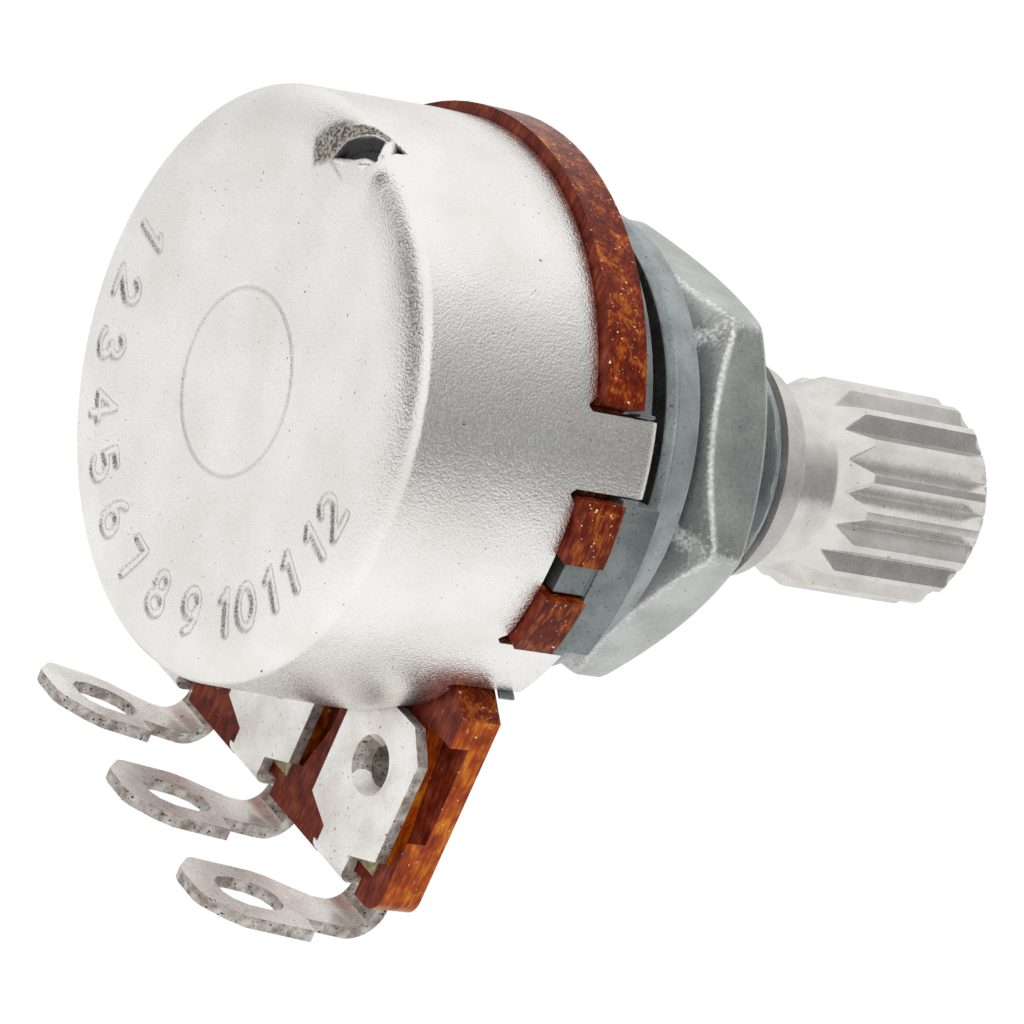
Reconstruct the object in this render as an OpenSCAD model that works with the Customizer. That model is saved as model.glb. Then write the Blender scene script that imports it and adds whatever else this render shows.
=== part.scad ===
// Rotary potentiometer, 16 mm size, with a splined shaft and three solder lugs.
// Row frame: +X runs along the shaft towards its tip, the terminal tongue points to -Z.
// The origin lies on the shaft's axis, in the face that seats against a panel.

/* [Shaft] */
// Diameter over the splined head
head_d = 6; // [5.6:0.1:6.4]
// Diameter of the plain neck that turns in the bushing
neck_d = 5; // [4.4:0.1:5.2]
// Distance from the mounting face to the shaft's tip
shaft_reach = 13.7; // [12:0.1:30]
// Distance from the mounting face to the start of the head's shoulder
head_start = 8.2; // [7.2:0.1:9]
// Length of the conical shoulder behind the head
shoulder_len = 0.95; // [0.6:0.05:1.5]
// Chamfer at the tip
tip_chamfer = 0.33; // [0.1:0.01:0.6]
// Number of spline grooves
spline_count = 18; // [12:1:20]
// Radius of the round cutter that leaves each groove
spline_cutter_r = 0.42; // [0.3:0.01:0.44]
// Depth of each groove
spline_depth = 0.36; // [0.2:0.01:0.44]

/* [Bushing] */
// Major diameter of the mounting thread
thread_d = 7; // [6.8:0.1:7.6]
// Pitch of the mounting thread
thread_pitch = 0.75; // [0.5:0.25:1]
// Length of thread in front of the mounting face
thread_len = 5.55; // [4.5:0.05:6]
// Diameter of the smooth end in front of the thread
pilot_d = 6.06; // [5.8:0.02:6.3]
// Reach of the whole bushing in front of the mounting face
bush_len = 6.7; // [6.2:0.1:7]
// Diameter of the round seating flange
flange_d = 13.3; // [12.9:0.1:14]
// How much smaller the flange is at its front face, from the draft of the casting
flange_draft = 0.6; // [0:0.1:0.8]
// Thickness of the seating flange
flange_t = 1.3; // [0.8:0.05:1.6]
// Diameter of the hub behind the flange
hub_d = 10.6; // [9.6:0.1:11.4]
// Width of the open groove between flange and base plate
hub_t = 0.98; // [0.7:0.01:1.3]
// Thickness of the base plate
plate_t = 1.25; // [1:0.05:1.6]
// Diameter of the base plate between its wings
plate_d = 14.2; // [13.4:0.1:14.6]
// How far the wings and ledges stand inside the wafer's edge
wing_inset = 0.15; // [0.05:0.05:0.3]
// Angle from the tongue to the middle of each wing
wing_turn = 86.8; // [86:0.2:90]
// Half the angle that a wing spans
wing_half = 15.8; // [14:0.2:15.8]
// Thickness of the ledge under each tab
ledge_t = 0.5; // [0.4:0.05:0.8]
// Width of each locating peg behind the wings
peg_w = 0.85; // [0.6:0.05:1]
// Length of each locating peg
peg_len = 1; // [0.6:0.05:1.1]

/* [Nut] */
// Width across the flats
nut_af = 11; // [10:0.1:11.6]
// Thickness
nut_t = 2.25; // [2:0.05:3]
// Gap between the nut and the mounting face
nut_gap = 0.95; // [0.05:0.05:1]
// Diameter of the round face left by the chamfer
nut_face_d = 10.3; // [9.6:0.1:10.6]

/* [Wafer] */
// Diameter of the round part
wafer_d = 16.7; // [16.6:0.1:17.2]
// Thickness
wafer_t = 1.25; // [1.1:0.05:1.5]
// Half the width of the terminal tongue
tongue_half = 7.2; // [7.1:0.05:7.6]
// Distance from the terminal eyes to the tips of the tongue's teeth
tongue_len = 3.3; // [3:0.1:4]
// Depth of the notches that the terminal straps pass through
notch_depth = 0.5; // [0.4:0.05:0.6]
// Width of those notches
notch_w = 2.15; // [1.9:0.05:2.4]
// Radius of the tongue's outer corners
tongue_corner = 0.6; // [0.3:0.05:0.9]
// Depth of the shadow pockets beside the terminal plates
pocket_depth = 0.6; // [0.3:0.05:0.8]

/* [Can] */
// How far the open rim stands inside the wafer's edge
rim_inset = 0.34; // [0.2:0.02:0.5]
// Depth from rim to rear face
can_depth = 5.72; // [5.64:0.02:7]
// Sheet thickness
sheet_t = 0.4; // [0.3:0.05:0.45]
// Outer radius of the rear edge
can_fillet = 0.55; // [0.5:0.05:1]
// How far the flat middle of the rear face is dished in
can_dish = 0.12; // [0:0.02:0.2]
// How much smaller the radius is at the rear
can_taper = 0.15; // [0:0.05:0.25]
// Width of each fixing tab
tab_w = 2; // [1.6:0.1:2.2]
// Angle between a tab and the middle of its wing
tab_turn = 24.2; // [22.6:0.2:24.4]
// How far the rim stands back below the upper tabs
rim_relief = 0.05; // [0:0.05:0.3]
// Angle of the stop indentation from straight up
stop_turn = 3; // [0:1:5]
// Radius of the stop indentation at its mouth
stop_mouth_r = 1.2; // [1:0.05:1.3]

/* [Terminals] */
// Distance between neighbouring terminals
pitch = 5; // [4.8:0.05:5.2]
// Sheet thickness of the terminals
term_t = 0.35; // [0.25:0.05:0.4]
// How far the terminal eyes lie inside the round wafer's edge
eye_inset = 0.35; // [0.2:0.05:0.5]
// Half the width of the rear plate
pad_half = 1.8; // [1.5:0.05:1.9]
// Width of the strap that wraps the tongue's edge
strap_w = 1.5; // [1.2:0.05:1.7]
// Width of the tail's neck
neck_w = 1.45; // [1.2:0.05:1.6]
// Width of the solder eyelet
lug_w = 2.75; // [2.5:0.05:3]
// Inner radius of the tail's bend
bend_r = 0.65; // [0.5:0.05:0.8]
// Distance from the tongue's teeth down to the upper face of the tail
tail_gap = 1.22; // [1:0.02:1.6]
// Rise of each tail towards its tip, from the left terminal to the right one
tail_rise = [9.5, 7, 6.5]; // [0:0.5:12]
// Distance from the mounting face back to the longest lug's tip
lug_back = 9.15; // [8.6:0.05:10]
// How much further forward each lug's tip ends, from the left terminal to the right one
lug_short = [0.55, 0.35, 0]; // [0:0.05:0.8]
// Length of the wide part of the longest lug
lug_len = 3.5; // [3.2:0.05:4]

/* [Rotor] */
// Gap between the carrier and the can's wall
rotor_clear = 0.81; // [0.6:0.01:1]
// Thickness of the carrier
rotor_t = 1.2; // [0.9:0.05:1.4]
// Half the turn from the middle to either stop
half_travel = 150; // [130:1:150]
// Outer radius of the carbon track
track_r = 6.4; // [6.2:0.05:6.5]
// Width of the carbon track
track_w = 1.2; // [0.9:0.05:1.3]
// Half the angle that the carbon track spans
track_half = 155; // [152:1:156]
// Middle radius of the collector ring
ring_r = 4.4; // [4.3:0.05:4.5]
// Width of the collector ring
ring_w = 0.9; // [0.7:0.05:1]
// Thickness of the printed layers
ink_t = 0.05; // [0.04:0.01:0.08]
// Sheet thickness of the wiper
wiper_t = 0.25; // [0.15:0.05:0.3]

/* [Hidden] */
$fn = 72;
// Running clearance of a turning fit, and the gap of a fixed seat
run_gap = 0.03;
seat_gap = 0.02;
// Overshoot of a cutter past the face that it opens
over = 0.5;
// Stations along the axis, measured forward from the mounting face
z_plate_front = -flange_t - hub_t;
z_wafer_front = z_plate_front - plate_t;
z_wafer_rear = z_wafer_front - wafer_t;
z_can_rear = z_wafer_rear - can_depth;
z_ink = z_wafer_rear - ink_t;
z_can_floor = z_can_rear + sheet_t;
// Sizes that follow the wafer, so that casting, can and terminals keep together
wing_d = wafer_d - 2 * wing_inset;
can_d = wafer_d - 2 * rim_inset;
eye_reach = wafer_d / 2 - eye_inset;
tongue_reach = eye_reach + tongue_len;
tail_drop = tongue_reach + tail_gap;
// Can radii
can_r = can_d / 2;
can_rear_r = can_r - can_taper;
tab_half_deg = asin(tab_w / 2 / can_r);
tab_angles = [wing_turn - tab_turn, wing_turn + tab_turn, -wing_turn + tab_turn, -wing_turn - tab_turn];
z_ledge = z_wafer_front + ledge_t;
z_fold = z_ledge + seat_gap;
z_taper = z_wafer_rear - 1.2;
dish_flat_r = 3.2;
// Where the stop indentation's axis crosses the rear edge, its lean, and how far outside it starts
stop_in = 0.3;
stop_up = 0.5;
stop_lean = 52;
stop_start = 0.7;
tab_lip = 0.85;
trim_margin = 4;
// Half the width over which the rim passes over the terminal plates, and its gap to them
rim_clear_half = sqrt(can_r * can_r - (eye_reach - pad_half) * (eye_reach - pad_half)) + 0.2;
rim_clear = 0.15;
slot_play_deg = 1.4;
seat_play_deg = 0.3;
peg_play = 0.1;
ledge_half_deg = tab_turn + tab_half_deg + 1;
// Shaft retention in the recess behind the bushing
recess_r = 4.2;
recess_depth = 1;
washer_t = 0.3;
washer_r = recess_r - 0.15;
clip_t = 0.35;
clip_r = recess_r - 0.3;
clip_half_deg = 140;
clip_groove_r = neck_d / 2 - 0.45;
z_recess = z_wafer_front + recess_depth;
z_clip_front = z_recess - washer_t - seat_gap;
z_clip_rear = z_clip_front - clip_t;
// Rotor stations, from the wafer towards the can's floor
hub_clear = 0.3;
z_hub_front = z_wafer_rear - hub_clear;
z_rotor_front = z_wafer_rear - 1.6;
z_rotor_rear = z_rotor_front - rotor_t;
z_lug_rear = z_can_floor + 0.55;
rotor_d = can_d - 2 * (sheet_t + rotor_clear);
rotor_hub_r = 3.3;
shaft_tail_r = neck_d / 2 - 0.1;
shaft_flat = shaft_tail_r - 0.65;
z_shaft_rear = z_lug_rear + 0.4;
stop_angle = 180 + stop_turn;
rotor_angle = stop_angle - 180;
stop_half_deg = 10;
lug_half_deg = 180 - half_travel - stop_half_deg - 0.5;
// Wiper posts
post_r = 0.45;
post_head_r = 0.7;
post_head_t = 0.25;
wiper_in = 3.6;
wiper_out = 5.2;
post_reach = (wiper_in + wiper_out) / 2;
finger_w = 0.7;
finger_len = 3;
// Window in the wiper's ring that lets the fingers bend, and the bar that carries them
window_half = finger_w * 2;
window_inner = 1.6;
bar_w = 1;
bar_lap = 0.6;
z_wiper_front = z_rotor_front + wiper_t;
// Under the nut the two threads meet at their mean radius
engaged_r = thread_d / 2 - 0.325 * thread_pitch;
z_nut_front = nut_gap + nut_t;
sink_r = thread_d / 2 + 0.25;
// Terminal places
term_y = [pitch, 0, -pitch];
notch_floor = tongue_reach - notch_depth;
eye_r = 0.55;
collar_r = 0.85;
// Share of the half width that each cut corner of a plate takes
plate_cut = 0.42;
z_pad_front = z_ink;
z_pad_rear = z_pad_front - term_t;
z_clamp_front = z_wafer_front + term_t;
clamp_half = 1.3;
strap_span = tail_drop + 2 * term_t + 1.5 - tongue_reach;
print_half = 1.5;
print_reach = notch_floor - 0.35;
wafer_hole_r = 3.5;

// Turns the working frame, with Z along the shaft and X down the tongue, into the row frame
module place() {
    rotate([0, 90, 0]) children();
}

// Ring sector from one radius to another, between two heights, about a middle angle
module sector(r_in, r_out, z_low, z_high, middle, half) {
    rotate([0, 0, middle - half])
        rotate_extrude(angle = 2 * half)
            translate([r_in, z_low])
                square([r_out - r_in, z_high - z_low]);
}

// Half section of a cup with a tapered wall and a round rear edge, straight near the rim
module cup_section(r_rim, r_rear, fillet, z_rear, z_rim) {
    polygon([[0, z_rear + can_dish], [dish_flat_r, z_rear + can_dish], [r_rear - fillet, z_rear], [r_rear, z_rear + fillet],
             [r_rim, z_taper], [r_rim, z_rim], [0, z_rim]]);
    translate([r_rear - fillet, z_rear + fillet])
        circle(fillet);
}

// Half section of the can's sheet, with the wall carried forward and folded in as it is on the tabs
module can_section() {
    difference() {
        union() {
            cup_section(can_r, can_rear_r, can_fillet, z_can_rear, z_fold);
            translate([can_r - sheet_t - tab_lip, z_fold])
                square([tab_lip, sheet_t]);
            translate([can_r - sheet_t, z_fold])
                circle(sheet_t);
        }
        cup_section(can_r - sheet_t, can_rear_r - sheet_t, can_fillet - sheet_t, z_can_floor, z_fold);
    }
}

// Cone of the stop indentation, pushed in through the shoulder
module stop_cone(r_mouth, r_end, length) {
    rotate([0, 0, stop_angle])
        translate([can_rear_r - stop_in, 0, z_can_rear + stop_up])
            rotate([0, -stop_lean, 0])
                translate([0, 0, -stop_start])
                    cylinder(h = length, r1 = r_mouth, r2 = r_end);
}

// Cuts the sheet in front of the rim away between two tabs
module tab_gap(middle, half, z_low) {
    sector(can_r - sheet_t - tab_lip - 1, can_r + 1, z_low, z_fold + sheet_t + over, middle, half - tab_half_deg);
}

// The rim stands back a little between the lower tabs, and further where it passes over the terminals
module can() {
    color("gainsboro") place()
        difference() {
            union() {
                rotate_extrude() can_section();
                difference() {
                    stop_cone(stop_mouth_r, stop_mouth_r - 0.35, 2.45);
                    stop_trim();
                }
            }
            stop_cone(stop_mouth_r - sheet_t + 0.05, stop_mouth_r - 0.35 - sheet_t, 2.6);
            tab_gap(180, 180 - wing_turn - tab_turn, z_wafer_rear);
            tab_gap(0, wing_turn - tab_turn, z_wafer_rear - rim_relief);
            for (side = [-1, 1])
                tab_gap(side * wing_turn, tab_turn, z_wafer_rear - rim_relief);
            translate([0, -rim_clear_half, z_pad_rear - rim_clear])
                cube([can_r + over, 2 * rim_clear_half, z_wafer_rear + over - z_pad_rear + rim_clear]);
        }
}

// Everything outside the can's outer surface, which trims the indentation's mouth
module stop_trim() {
    difference() {
        translate([0, 0, z_can_rear - trim_margin])
            cylinder(h = can_depth + trim_margin, r = can_r + trim_margin);
        rotate_extrude() cup_section(can_r, can_rear_r, can_fillet, z_can_rear, z_wafer_rear);
    }
}

// Outline of the wafer: a disc with the toothed terminal tongue
module wafer_outline() {
    circle(wafer_d / 2);
    difference() {
        union() {
            translate([0, -tongue_half])
                square([tongue_reach - tongue_corner, 2 * tongue_half]);
            translate([0, -tongue_half + tongue_corner])
                square([tongue_reach, 2 * (tongue_half - tongue_corner)]);
            for (side = [-1, 1])
                translate([tongue_reach - tongue_corner, side * (tongue_half - tongue_corner)])
                    circle(tongue_corner);
        }
        for (y = term_y)
            translate([notch_floor, y - notch_w / 2])
                square([notch_depth + over, notch_w]);
    }
}

// Wedge-shaped outline of the pocket beside a terminal plate
module plate_pocket_outline(y) {
    translate([0, y])
        polygon([[eye_reach - 1.9, -0.6 * pad_half], [eye_reach - 1.9, -pad_half - 0.55],
                 [eye_reach + 0.4, -pad_half - 0.6], [eye_reach + 1.9, -pad_half - 0.1],
                 [eye_reach + 1.9, -pad_half + 0.25]]);
}

module plate_pocket(y) {
    translate([0, 0, z_wafer_rear - over])
        linear_extrude(pocket_depth + over) plate_pocket_outline(y);
}

module wafer() {
    color("sienna") place() {
        difference() {
            translate([0, 0, z_wafer_rear])
                linear_extrude(wafer_t) wafer_outline();
            translate([0, 0, z_wafer_rear - over])
                cylinder(h = wafer_t + 2 * over, r = wafer_hole_r);
            for (y = term_y) {
                translate([eye_reach, y, z_wafer_rear - over])
                    cylinder(h = wafer_t + 2 * over, r = collar_r + seat_gap);
                plate_pocket(y);
            }
            for (a = tab_angles)
                sector(can_r - sheet_t - 0.1, wafer_d, z_wafer_rear - over, z_wafer_front + over,
                       a, tab_half_deg + slot_play_deg);
            for (side = [-1, 1])
                rotate([0, 0, side * wing_turn]) {
                    translate([wing_d / 2 - 0.1 - peg_w, -peg_w / 2 - peg_play, z_wafer_rear - over])
                        cube([peg_w + 1, peg_w + 2 * peg_play, wafer_t + 2 * over]);
                    translate([wing_d / 2 - 0.1 - peg_w, 0, z_wafer_rear - over])
                        cylinder(h = wafer_t + 2 * over, r = peg_w / 2 + peg_play);
                }
        }
    }
}

// Printed carbon horseshoe, open towards the tongue
module carbon_track() {
    color("black") place()
        sector(track_r - track_w, track_r, z_ink, z_wafer_rear, 180, track_half);
}

// Silver print under a terminal plate, with corners that show beside the strap, and a hole for the eye
module contact_print(y) {
    difference() {
        translate([eye_reach - print_half, y - print_half, z_ink])
            cube([print_reach - eye_reach + print_half, 2 * print_half, ink_t]);
        translate([eye_reach, y, z_ink - over])
            cylinder(h = ink_t + 2 * over, r = collar_r + seat_gap);
        translate([0, 0, z_ink - over])
            linear_extrude(ink_t + 2 * over) plate_pocket_outline(y);
    }
}

// Silver print from one end of the track to its terminal
module track_pad(side) {
    pad_end = 180 - track_half;
    pad_mid_r = track_r - track_w / 2;
    color("silver") place() {
        contact_print(side * pitch);
        difference() {
            translate([0, 0, z_ink])
                linear_extrude(ink_t)
                    polygon([[pad_mid_r * cos(pad_end - 9), side * pad_mid_r * sin(pad_end - 9)],
                             [pad_mid_r * cos(pad_end), side * pad_mid_r * sin(pad_end)],
                             [eye_reach - print_half + 0.2, side * (pitch + 0.6)],
                             [eye_reach - print_half + 0.2, side * (pitch - print_half)]]);
            sector(track_r - track_w - 1, track_r + seat_gap, z_ink - over, z_wafer_rear + over, 180, track_half);
            translate([0, 0, z_ink - over])
                linear_extrude(ink_t + 2 * over) plate_pocket_outline(side * pitch);
        }
    }
}

module track_pad_left() {
    track_pad(1);
}

module track_pad_right() {
    track_pad(-1);
}

// Silver collector ring with its lead to the middle terminal
module collector_ring() {
    lead_half = 0.6;
    color("silver") place() {
        translate([0, 0, z_ink])
            difference() {
                cylinder(h = ink_t, r = ring_r + ring_w / 2);
                translate([0, 0, -over])
                    cylinder(h = ink_t + 2 * over, r = ring_r - ring_w / 2);
            }
        translate([ring_r, -lead_half, z_ink])
            cube([eye_reach - print_half - ring_r + 0.1, 2 * lead_half, ink_t]);
        contact_print(0);
    }
}

// Rear plate of a terminal: head with cut corners about the eye, shoulders, and the root of the strap
module plate_outline(half, root) {
    cut = plate_cut * half;
    polygon([[eye_reach - half, cut - half], [eye_reach - half, half - cut], [eye_reach - half + cut, half],
             [notch_floor - 0.9, half], [notch_floor - 0.45, root / 2],
             [notch_floor + seat_gap, root / 2], [notch_floor + seat_gap, -root / 2],
             [notch_floor - 0.45, -root / 2], [notch_floor - 0.9, -half], [eye_reach - half + cut, -half]]);
}

// Side view of the strap that wraps the tongue's edge, joined to the bent tail
module tail_profile(back, rise) {
    x_bend = tail_drop - bend_r;
    z_bend = z_wafer_front - bend_r;
    x_in = notch_floor + seat_gap;
    // Strap under the notch, with round outer corners
    translate([x_in, z_pad_rear + term_t])
        square([term_t, z_wafer_front - z_pad_rear - term_t]);
    translate([x_in, z_pad_rear + term_t])
        intersection() {
            circle(term_t);
            translate([0, -term_t]) square([term_t, term_t]);
        }
    // Tail down from the front plate
    translate([notch_floor - 0.6, z_wafer_front])
        square([x_bend - notch_floor + 0.6, term_t]);
    // Bend
    translate([x_bend, z_bend])
        difference() {
            circle(bend_r + term_t);
            circle(bend_r);
            translate([-bend_r - 1, -bend_r - 1]) square([bend_r + 1, 2 * bend_r + 2]);
            rotate(-rise)
                translate([0, -bend_r - 2]) square([bend_r + 2, bend_r + 2]);
        }
    // Straight run back to the tip, rising towards the can
    translate([x_bend, z_bend])
        rotate(-rise)
            translate([bend_r, -(z_bend + back) / cos(rise)])
                square([term_t, (z_bend + back) / cos(rise)]);
}

// Plan of the tail: neck, one square shoulder, eyelet with a blunt tip
module lug_plan(back) {
    half = lug_w / 2;
    z_step = -lug_back + lug_len;
    polygon([[-neck_w / 2, 1], [-neck_w / 2, z_step], [-half, z_step - 0.06], [-half, -back + 1.25],
             [0.22 - half, -back + 0.72], [-0.68, -back + 0.12], [-0.45, -back], [0.45, -back],
             [0.72, -back + 0.08], [half - 0.08, -back + 0.62], [half, -back + 0.85], [half, z_step - 0.7],
             [half - 0.12, z_step - 0.2], [neck_w / 2 + 0.2, z_step + 0.5], [neck_w / 2, z_step + 1], [neck_w / 2, 1]]);
}

// Eyelet opening: a long oval with blunt ends
module lug_hole(back) {
    z_mid = -back + 1.98;
    polygon([for (side = [-1, 1], p = [[-0.22, -1.04], [-0.5, -0.84], [-0.68, -0.4], [-0.7, 0.3], [-0.56, 0.76],
                                       [-0.26, 1.04]])
                 [-side * p[0], z_mid - side * p[1]]]);
}

// One terminal of three, counted from the left: rear plate with a drawn eye, strap, front plate and bent lug
module terminal(i) {
    back = lug_back - lug_short[i];
    color("silver") place() translate([0, term_y[i], 0]) {
        difference() {
            union() {
                translate([0, 0, z_pad_rear])
                    linear_extrude(term_t) plate_outline(pad_half, strap_w);
                translate([0, 0, z_wafer_front])
                    linear_extrude(term_t) plate_outline(clamp_half, neck_w);
                translate([eye_reach, 0, z_pad_rear])
                    cylinder(h = z_clamp_front - z_pad_rear, r = collar_r);
                // Strap and tail, cut to their plan widths
                intersection() {
                    rotate([90, 0, 0])
                        translate([0, 0, -lug_w])
                            linear_extrude(2 * lug_w) tail_profile(back, tail_rise[i]);
                    union() {
                        translate([tongue_reach - 1.5, 0, 0]) rotate([90, 0, 90])
                            linear_extrude(strap_span) difference() {
                                lug_plan(back);
                                lug_hole(back);
                            }
                    }
                }
            }
            translate([eye_reach, 0, z_pad_rear - over])
                cylinder(h = z_clamp_front - z_pad_rear + 2 * over, r = eye_r);
            translate([eye_reach, 0, z_pad_rear - 0.01])
                cylinder(h = 0.45, r1 = collar_r - 0.02, r2 = eye_r);
        }
    }
}

module terminal_left() {
    terminal(0);
}

module terminal_middle() {
    terminal(1);
}

module terminal_right() {
    terminal(2);
}

// Outline of the base plate: a disc with a flat side towards the tongue, and two wings
module base_outline() {
    intersection() {
        circle(plate_d / 2);
        translate([-plate_d, -plate_d])
            square([plate_d + eye_reach - clamp_half - 0.4, 2 * plate_d]);
    }
    for (side = [-1, 1])
        rotate(side * wing_turn)
            intersection() {
                circle(wing_d / 2);
                polygon([[0, 0], [wing_d, -wing_d * tan(ledge_half_deg)], [wing_d, wing_d * tan(ledge_half_deg)]]);
            }
}

// Outline of a locating peg, square outwards and round inwards
module peg_outline() {
    translate([-peg_w / 2, 0]) {
        translate([-peg_w / 2, -peg_w / 2]) square([peg_w, peg_w]);
        translate([-peg_w / 2, 0]) circle(peg_w / 2);
    }
}

// Zinc casting: base plate with wings and pegs, hub, seating flange, thread and smooth end
module bushing() {
    color("darkgray") place() {
        difference() {
            union() {
                translate([0, 0, z_wafer_front])
                    linear_extrude(plate_t) base_outline();
                for (side = [-1, 1])
                    rotate([0, 0, side * wing_turn])
                        translate([wing_d / 2 - 0.1, 0, z_wafer_front - peg_len])
                            linear_extrude(peg_len + ledge_t / 2) peg_outline();
                // Hub, flange, thread and smooth end as one turned outline
                rotate_extrude()
                    polygon([[0, z_wafer_front + 0.1], [hub_d / 2, z_wafer_front + 0.1], [hub_d / 2, -flange_t],
                             [flange_d / 2 - 0.2, -flange_t], [flange_d / 2, -flange_t + 0.2],
                             [(flange_d - flange_draft) / 2, -0.1], [(flange_d - flange_draft) / 2 - 0.1, 0],
                             [engaged_r, 0],
                             [engaged_r, z_nut_front + seat_gap], [thread_d / 2, z_nut_front + seat_gap],
                             [thread_d / 2, thread_len - 0.2], [thread_d / 2 - 0.2, thread_len],
                             [pilot_d / 2, thread_len], [pilot_d / 2, bush_len - 0.2],
                             [pilot_d / 2 - 0.2, bush_len], [0, bush_len]]);
            }
            translate([0, 0, z_wafer_front - over])
                cylinder(h = bush_len - z_wafer_front + 2 * over, r = neck_d / 2 + run_gap);
            translate([0, 0, z_wafer_front - over])
                cylinder(h = recess_depth + over, r = recess_r);
            // Slots that the can's tabs pass through
            for (a = tab_angles)
                sector(can_r - sheet_t - seat_gap, wing_d, z_wafer_front - over, z_plate_front + over,
                       a, tab_half_deg + seat_play_deg);
            // Seats for the tabs' folded ends, which leave the wings standing between them
            for (side = [-1, 1], end = [-1, 1])
                sector(can_r - sheet_t - tab_lip - seat_gap, wing_d + 1, z_ledge, z_plate_front + over,
                       side * wing_turn + end * (wing_half + ledge_half_deg + 1) / 2,
                       (ledge_half_deg + 1 - wing_half) / 2);
        }
    }
}

module nut() {
    color("darkgray") place()
        translate([0, 0, nut_gap])
            difference() {
                intersection() {
                    rotate([0, 0, 30])
                        cylinder(h = nut_t, r = nut_af / 2 / cos(30), $fn = 6);
                    rotate_extrude()
                        polygon([[0, 0], [nut_face_d / 2, 0], [nut_face_d / 2 + 2, 2 * tan(30)],
                                 [nut_face_d / 2 + 2, nut_t - 2 * tan(30)], [nut_face_d / 2, nut_t], [0, nut_t]]);
                }
                translate([0, 0, -over])
                    cylinder(h = nut_t + 2 * over, r = engaged_r + seat_gap);
                // Countersinks at both ends of the thread
                for (end = [0, 1])
                    translate([0, 0, end * nut_t])
                        mirror([0, 0, end])
                            translate([0, 0, -0.01])
                                cylinder(h = sink_r - engaged_r, r1 = sink_r, r2 = engaged_r);
            }
}

module thrust_washer() {
    color("lightsteelblue") place()
        translate([0, 0, z_recess - washer_t])
            difference() {
                cylinder(h = washer_t, r = washer_r);
                translate([0, 0, -over])
                    cylinder(h = washer_t + 2 * over, r = neck_d / 2 + run_gap);
            }
}

// Turned shaft: D-shaped tail, clip groove, neck, conical shoulder and splined head
module shaft() {
    color("whitesmoke") place() {
        difference() {
            rotate_extrude()
                polygon([[0, z_shaft_rear], [shaft_tail_r - 0.2, z_shaft_rear], [shaft_tail_r, z_shaft_rear + 0.2],
                         [shaft_tail_r, z_wafer_rear], [neck_d / 2, z_wafer_rear],
                         [neck_d / 2, z_clip_rear - seat_gap], [clip_groove_r, z_clip_rear - seat_gap],
                         [clip_groove_r, z_clip_front + seat_gap], [neck_d / 2, z_clip_front + seat_gap],
                         [neck_d / 2, head_start], [head_d / 2, head_start + shoulder_len],
                         [head_d / 2, shaft_reach - tip_chamfer], [head_d / 2 - tip_chamfer, shaft_reach],
                         [0, shaft_reach]]);
            translate([shaft_flat, -neck_d, z_shaft_rear - over])
                cube([neck_d, 2 * neck_d, z_wafer_rear - z_shaft_rear - 0.2 + over]);
            for (i = [0 : spline_count - 1])
                rotate([0, 0, i * 360 / spline_count])
                    translate([head_d / 2 - spline_depth + spline_cutter_r, 0, head_start - over])
                        cylinder(h = shaft_reach - head_start + 2 * over, r = spline_cutter_r, $fn = 24);
        }
    }
}

// C-shaped clip in the shaft's groove
module retaining_clip() {
    color("lightsteelblue") place()
        sector(clip_groove_r + seat_gap, clip_r, z_clip_rear, z_clip_front, 180, clip_half_deg);
}

// Moulded carrier: a disc on a hub with a D-shaped bore, a stop lug and two posts for the wiper
module rotor() {
    color("dimgray") place() {
        difference() {
            union() {
                rotate_extrude()
                    polygon([[0, z_lug_rear], [rotor_hub_r, z_lug_rear], [rotor_hub_r, z_rotor_rear],
                             [rotor_d / 2, z_rotor_rear], [rotor_d / 2, z_rotor_front],
                             [rotor_hub_r, z_rotor_front], [rotor_hub_r, z_hub_front], [0, z_hub_front]]);
                // Stop lug, opposite the can's indentation at mid travel
                sector(rotor_hub_r - 0.3, rotor_d / 2 - 0.15, z_lug_rear + 0.05, z_rotor_rear + 0.1,
                       rotor_angle, lug_half_deg);
            }
            // D-shaped bore
            difference() {
                translate([0, 0, z_lug_rear - over])
                    cylinder(h = z_hub_front - z_lug_rear + 2 * over, r = shaft_tail_r + seat_gap);
                translate([shaft_flat + seat_gap, -neck_d, z_lug_rear - over])
                    cube([neck_d, 2 * neck_d, z_hub_front - z_lug_rear + 2 * over]);
            }
        }
        // Posts that the wiper is staked to, as one turned outline each
        for (side = [-1, 1])
            rotate([0, 0, rotor_angle + 90 * side]) translate([post_reach, 0, 0])
                rotate_extrude()
                    polygon([[0, z_rotor_front - 0.1], [post_r, z_rotor_front - 0.1],
                             [post_r, z_wiper_front + seat_gap], [post_head_r, z_wiper_front + seat_gap],
                             [post_head_r - 0.2, z_wiper_front + seat_gap + post_head_t],
                             [0, z_wiper_front + seat_gap + post_head_t]]);
    }
}

// One contact finger: a sloped strip ending in a rounded nose on the print
module finger(r) {
    translate([-r - finger_w / 2, 0, 0])
        rotate([90, 0, 90])
            linear_extrude(finger_w) {
                polygon([[finger_len, z_rotor_front], [finger_len, z_wiper_front],
                         [0.2, z_ink - 0.28], [-0.35, z_ink - 0.5], [-0.3, z_ink - 0.75], [0.25, z_ink - 0.55]]);
                translate([0.05, z_ink - 0.3]) circle(0.28 - run_gap);
            }
}

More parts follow.
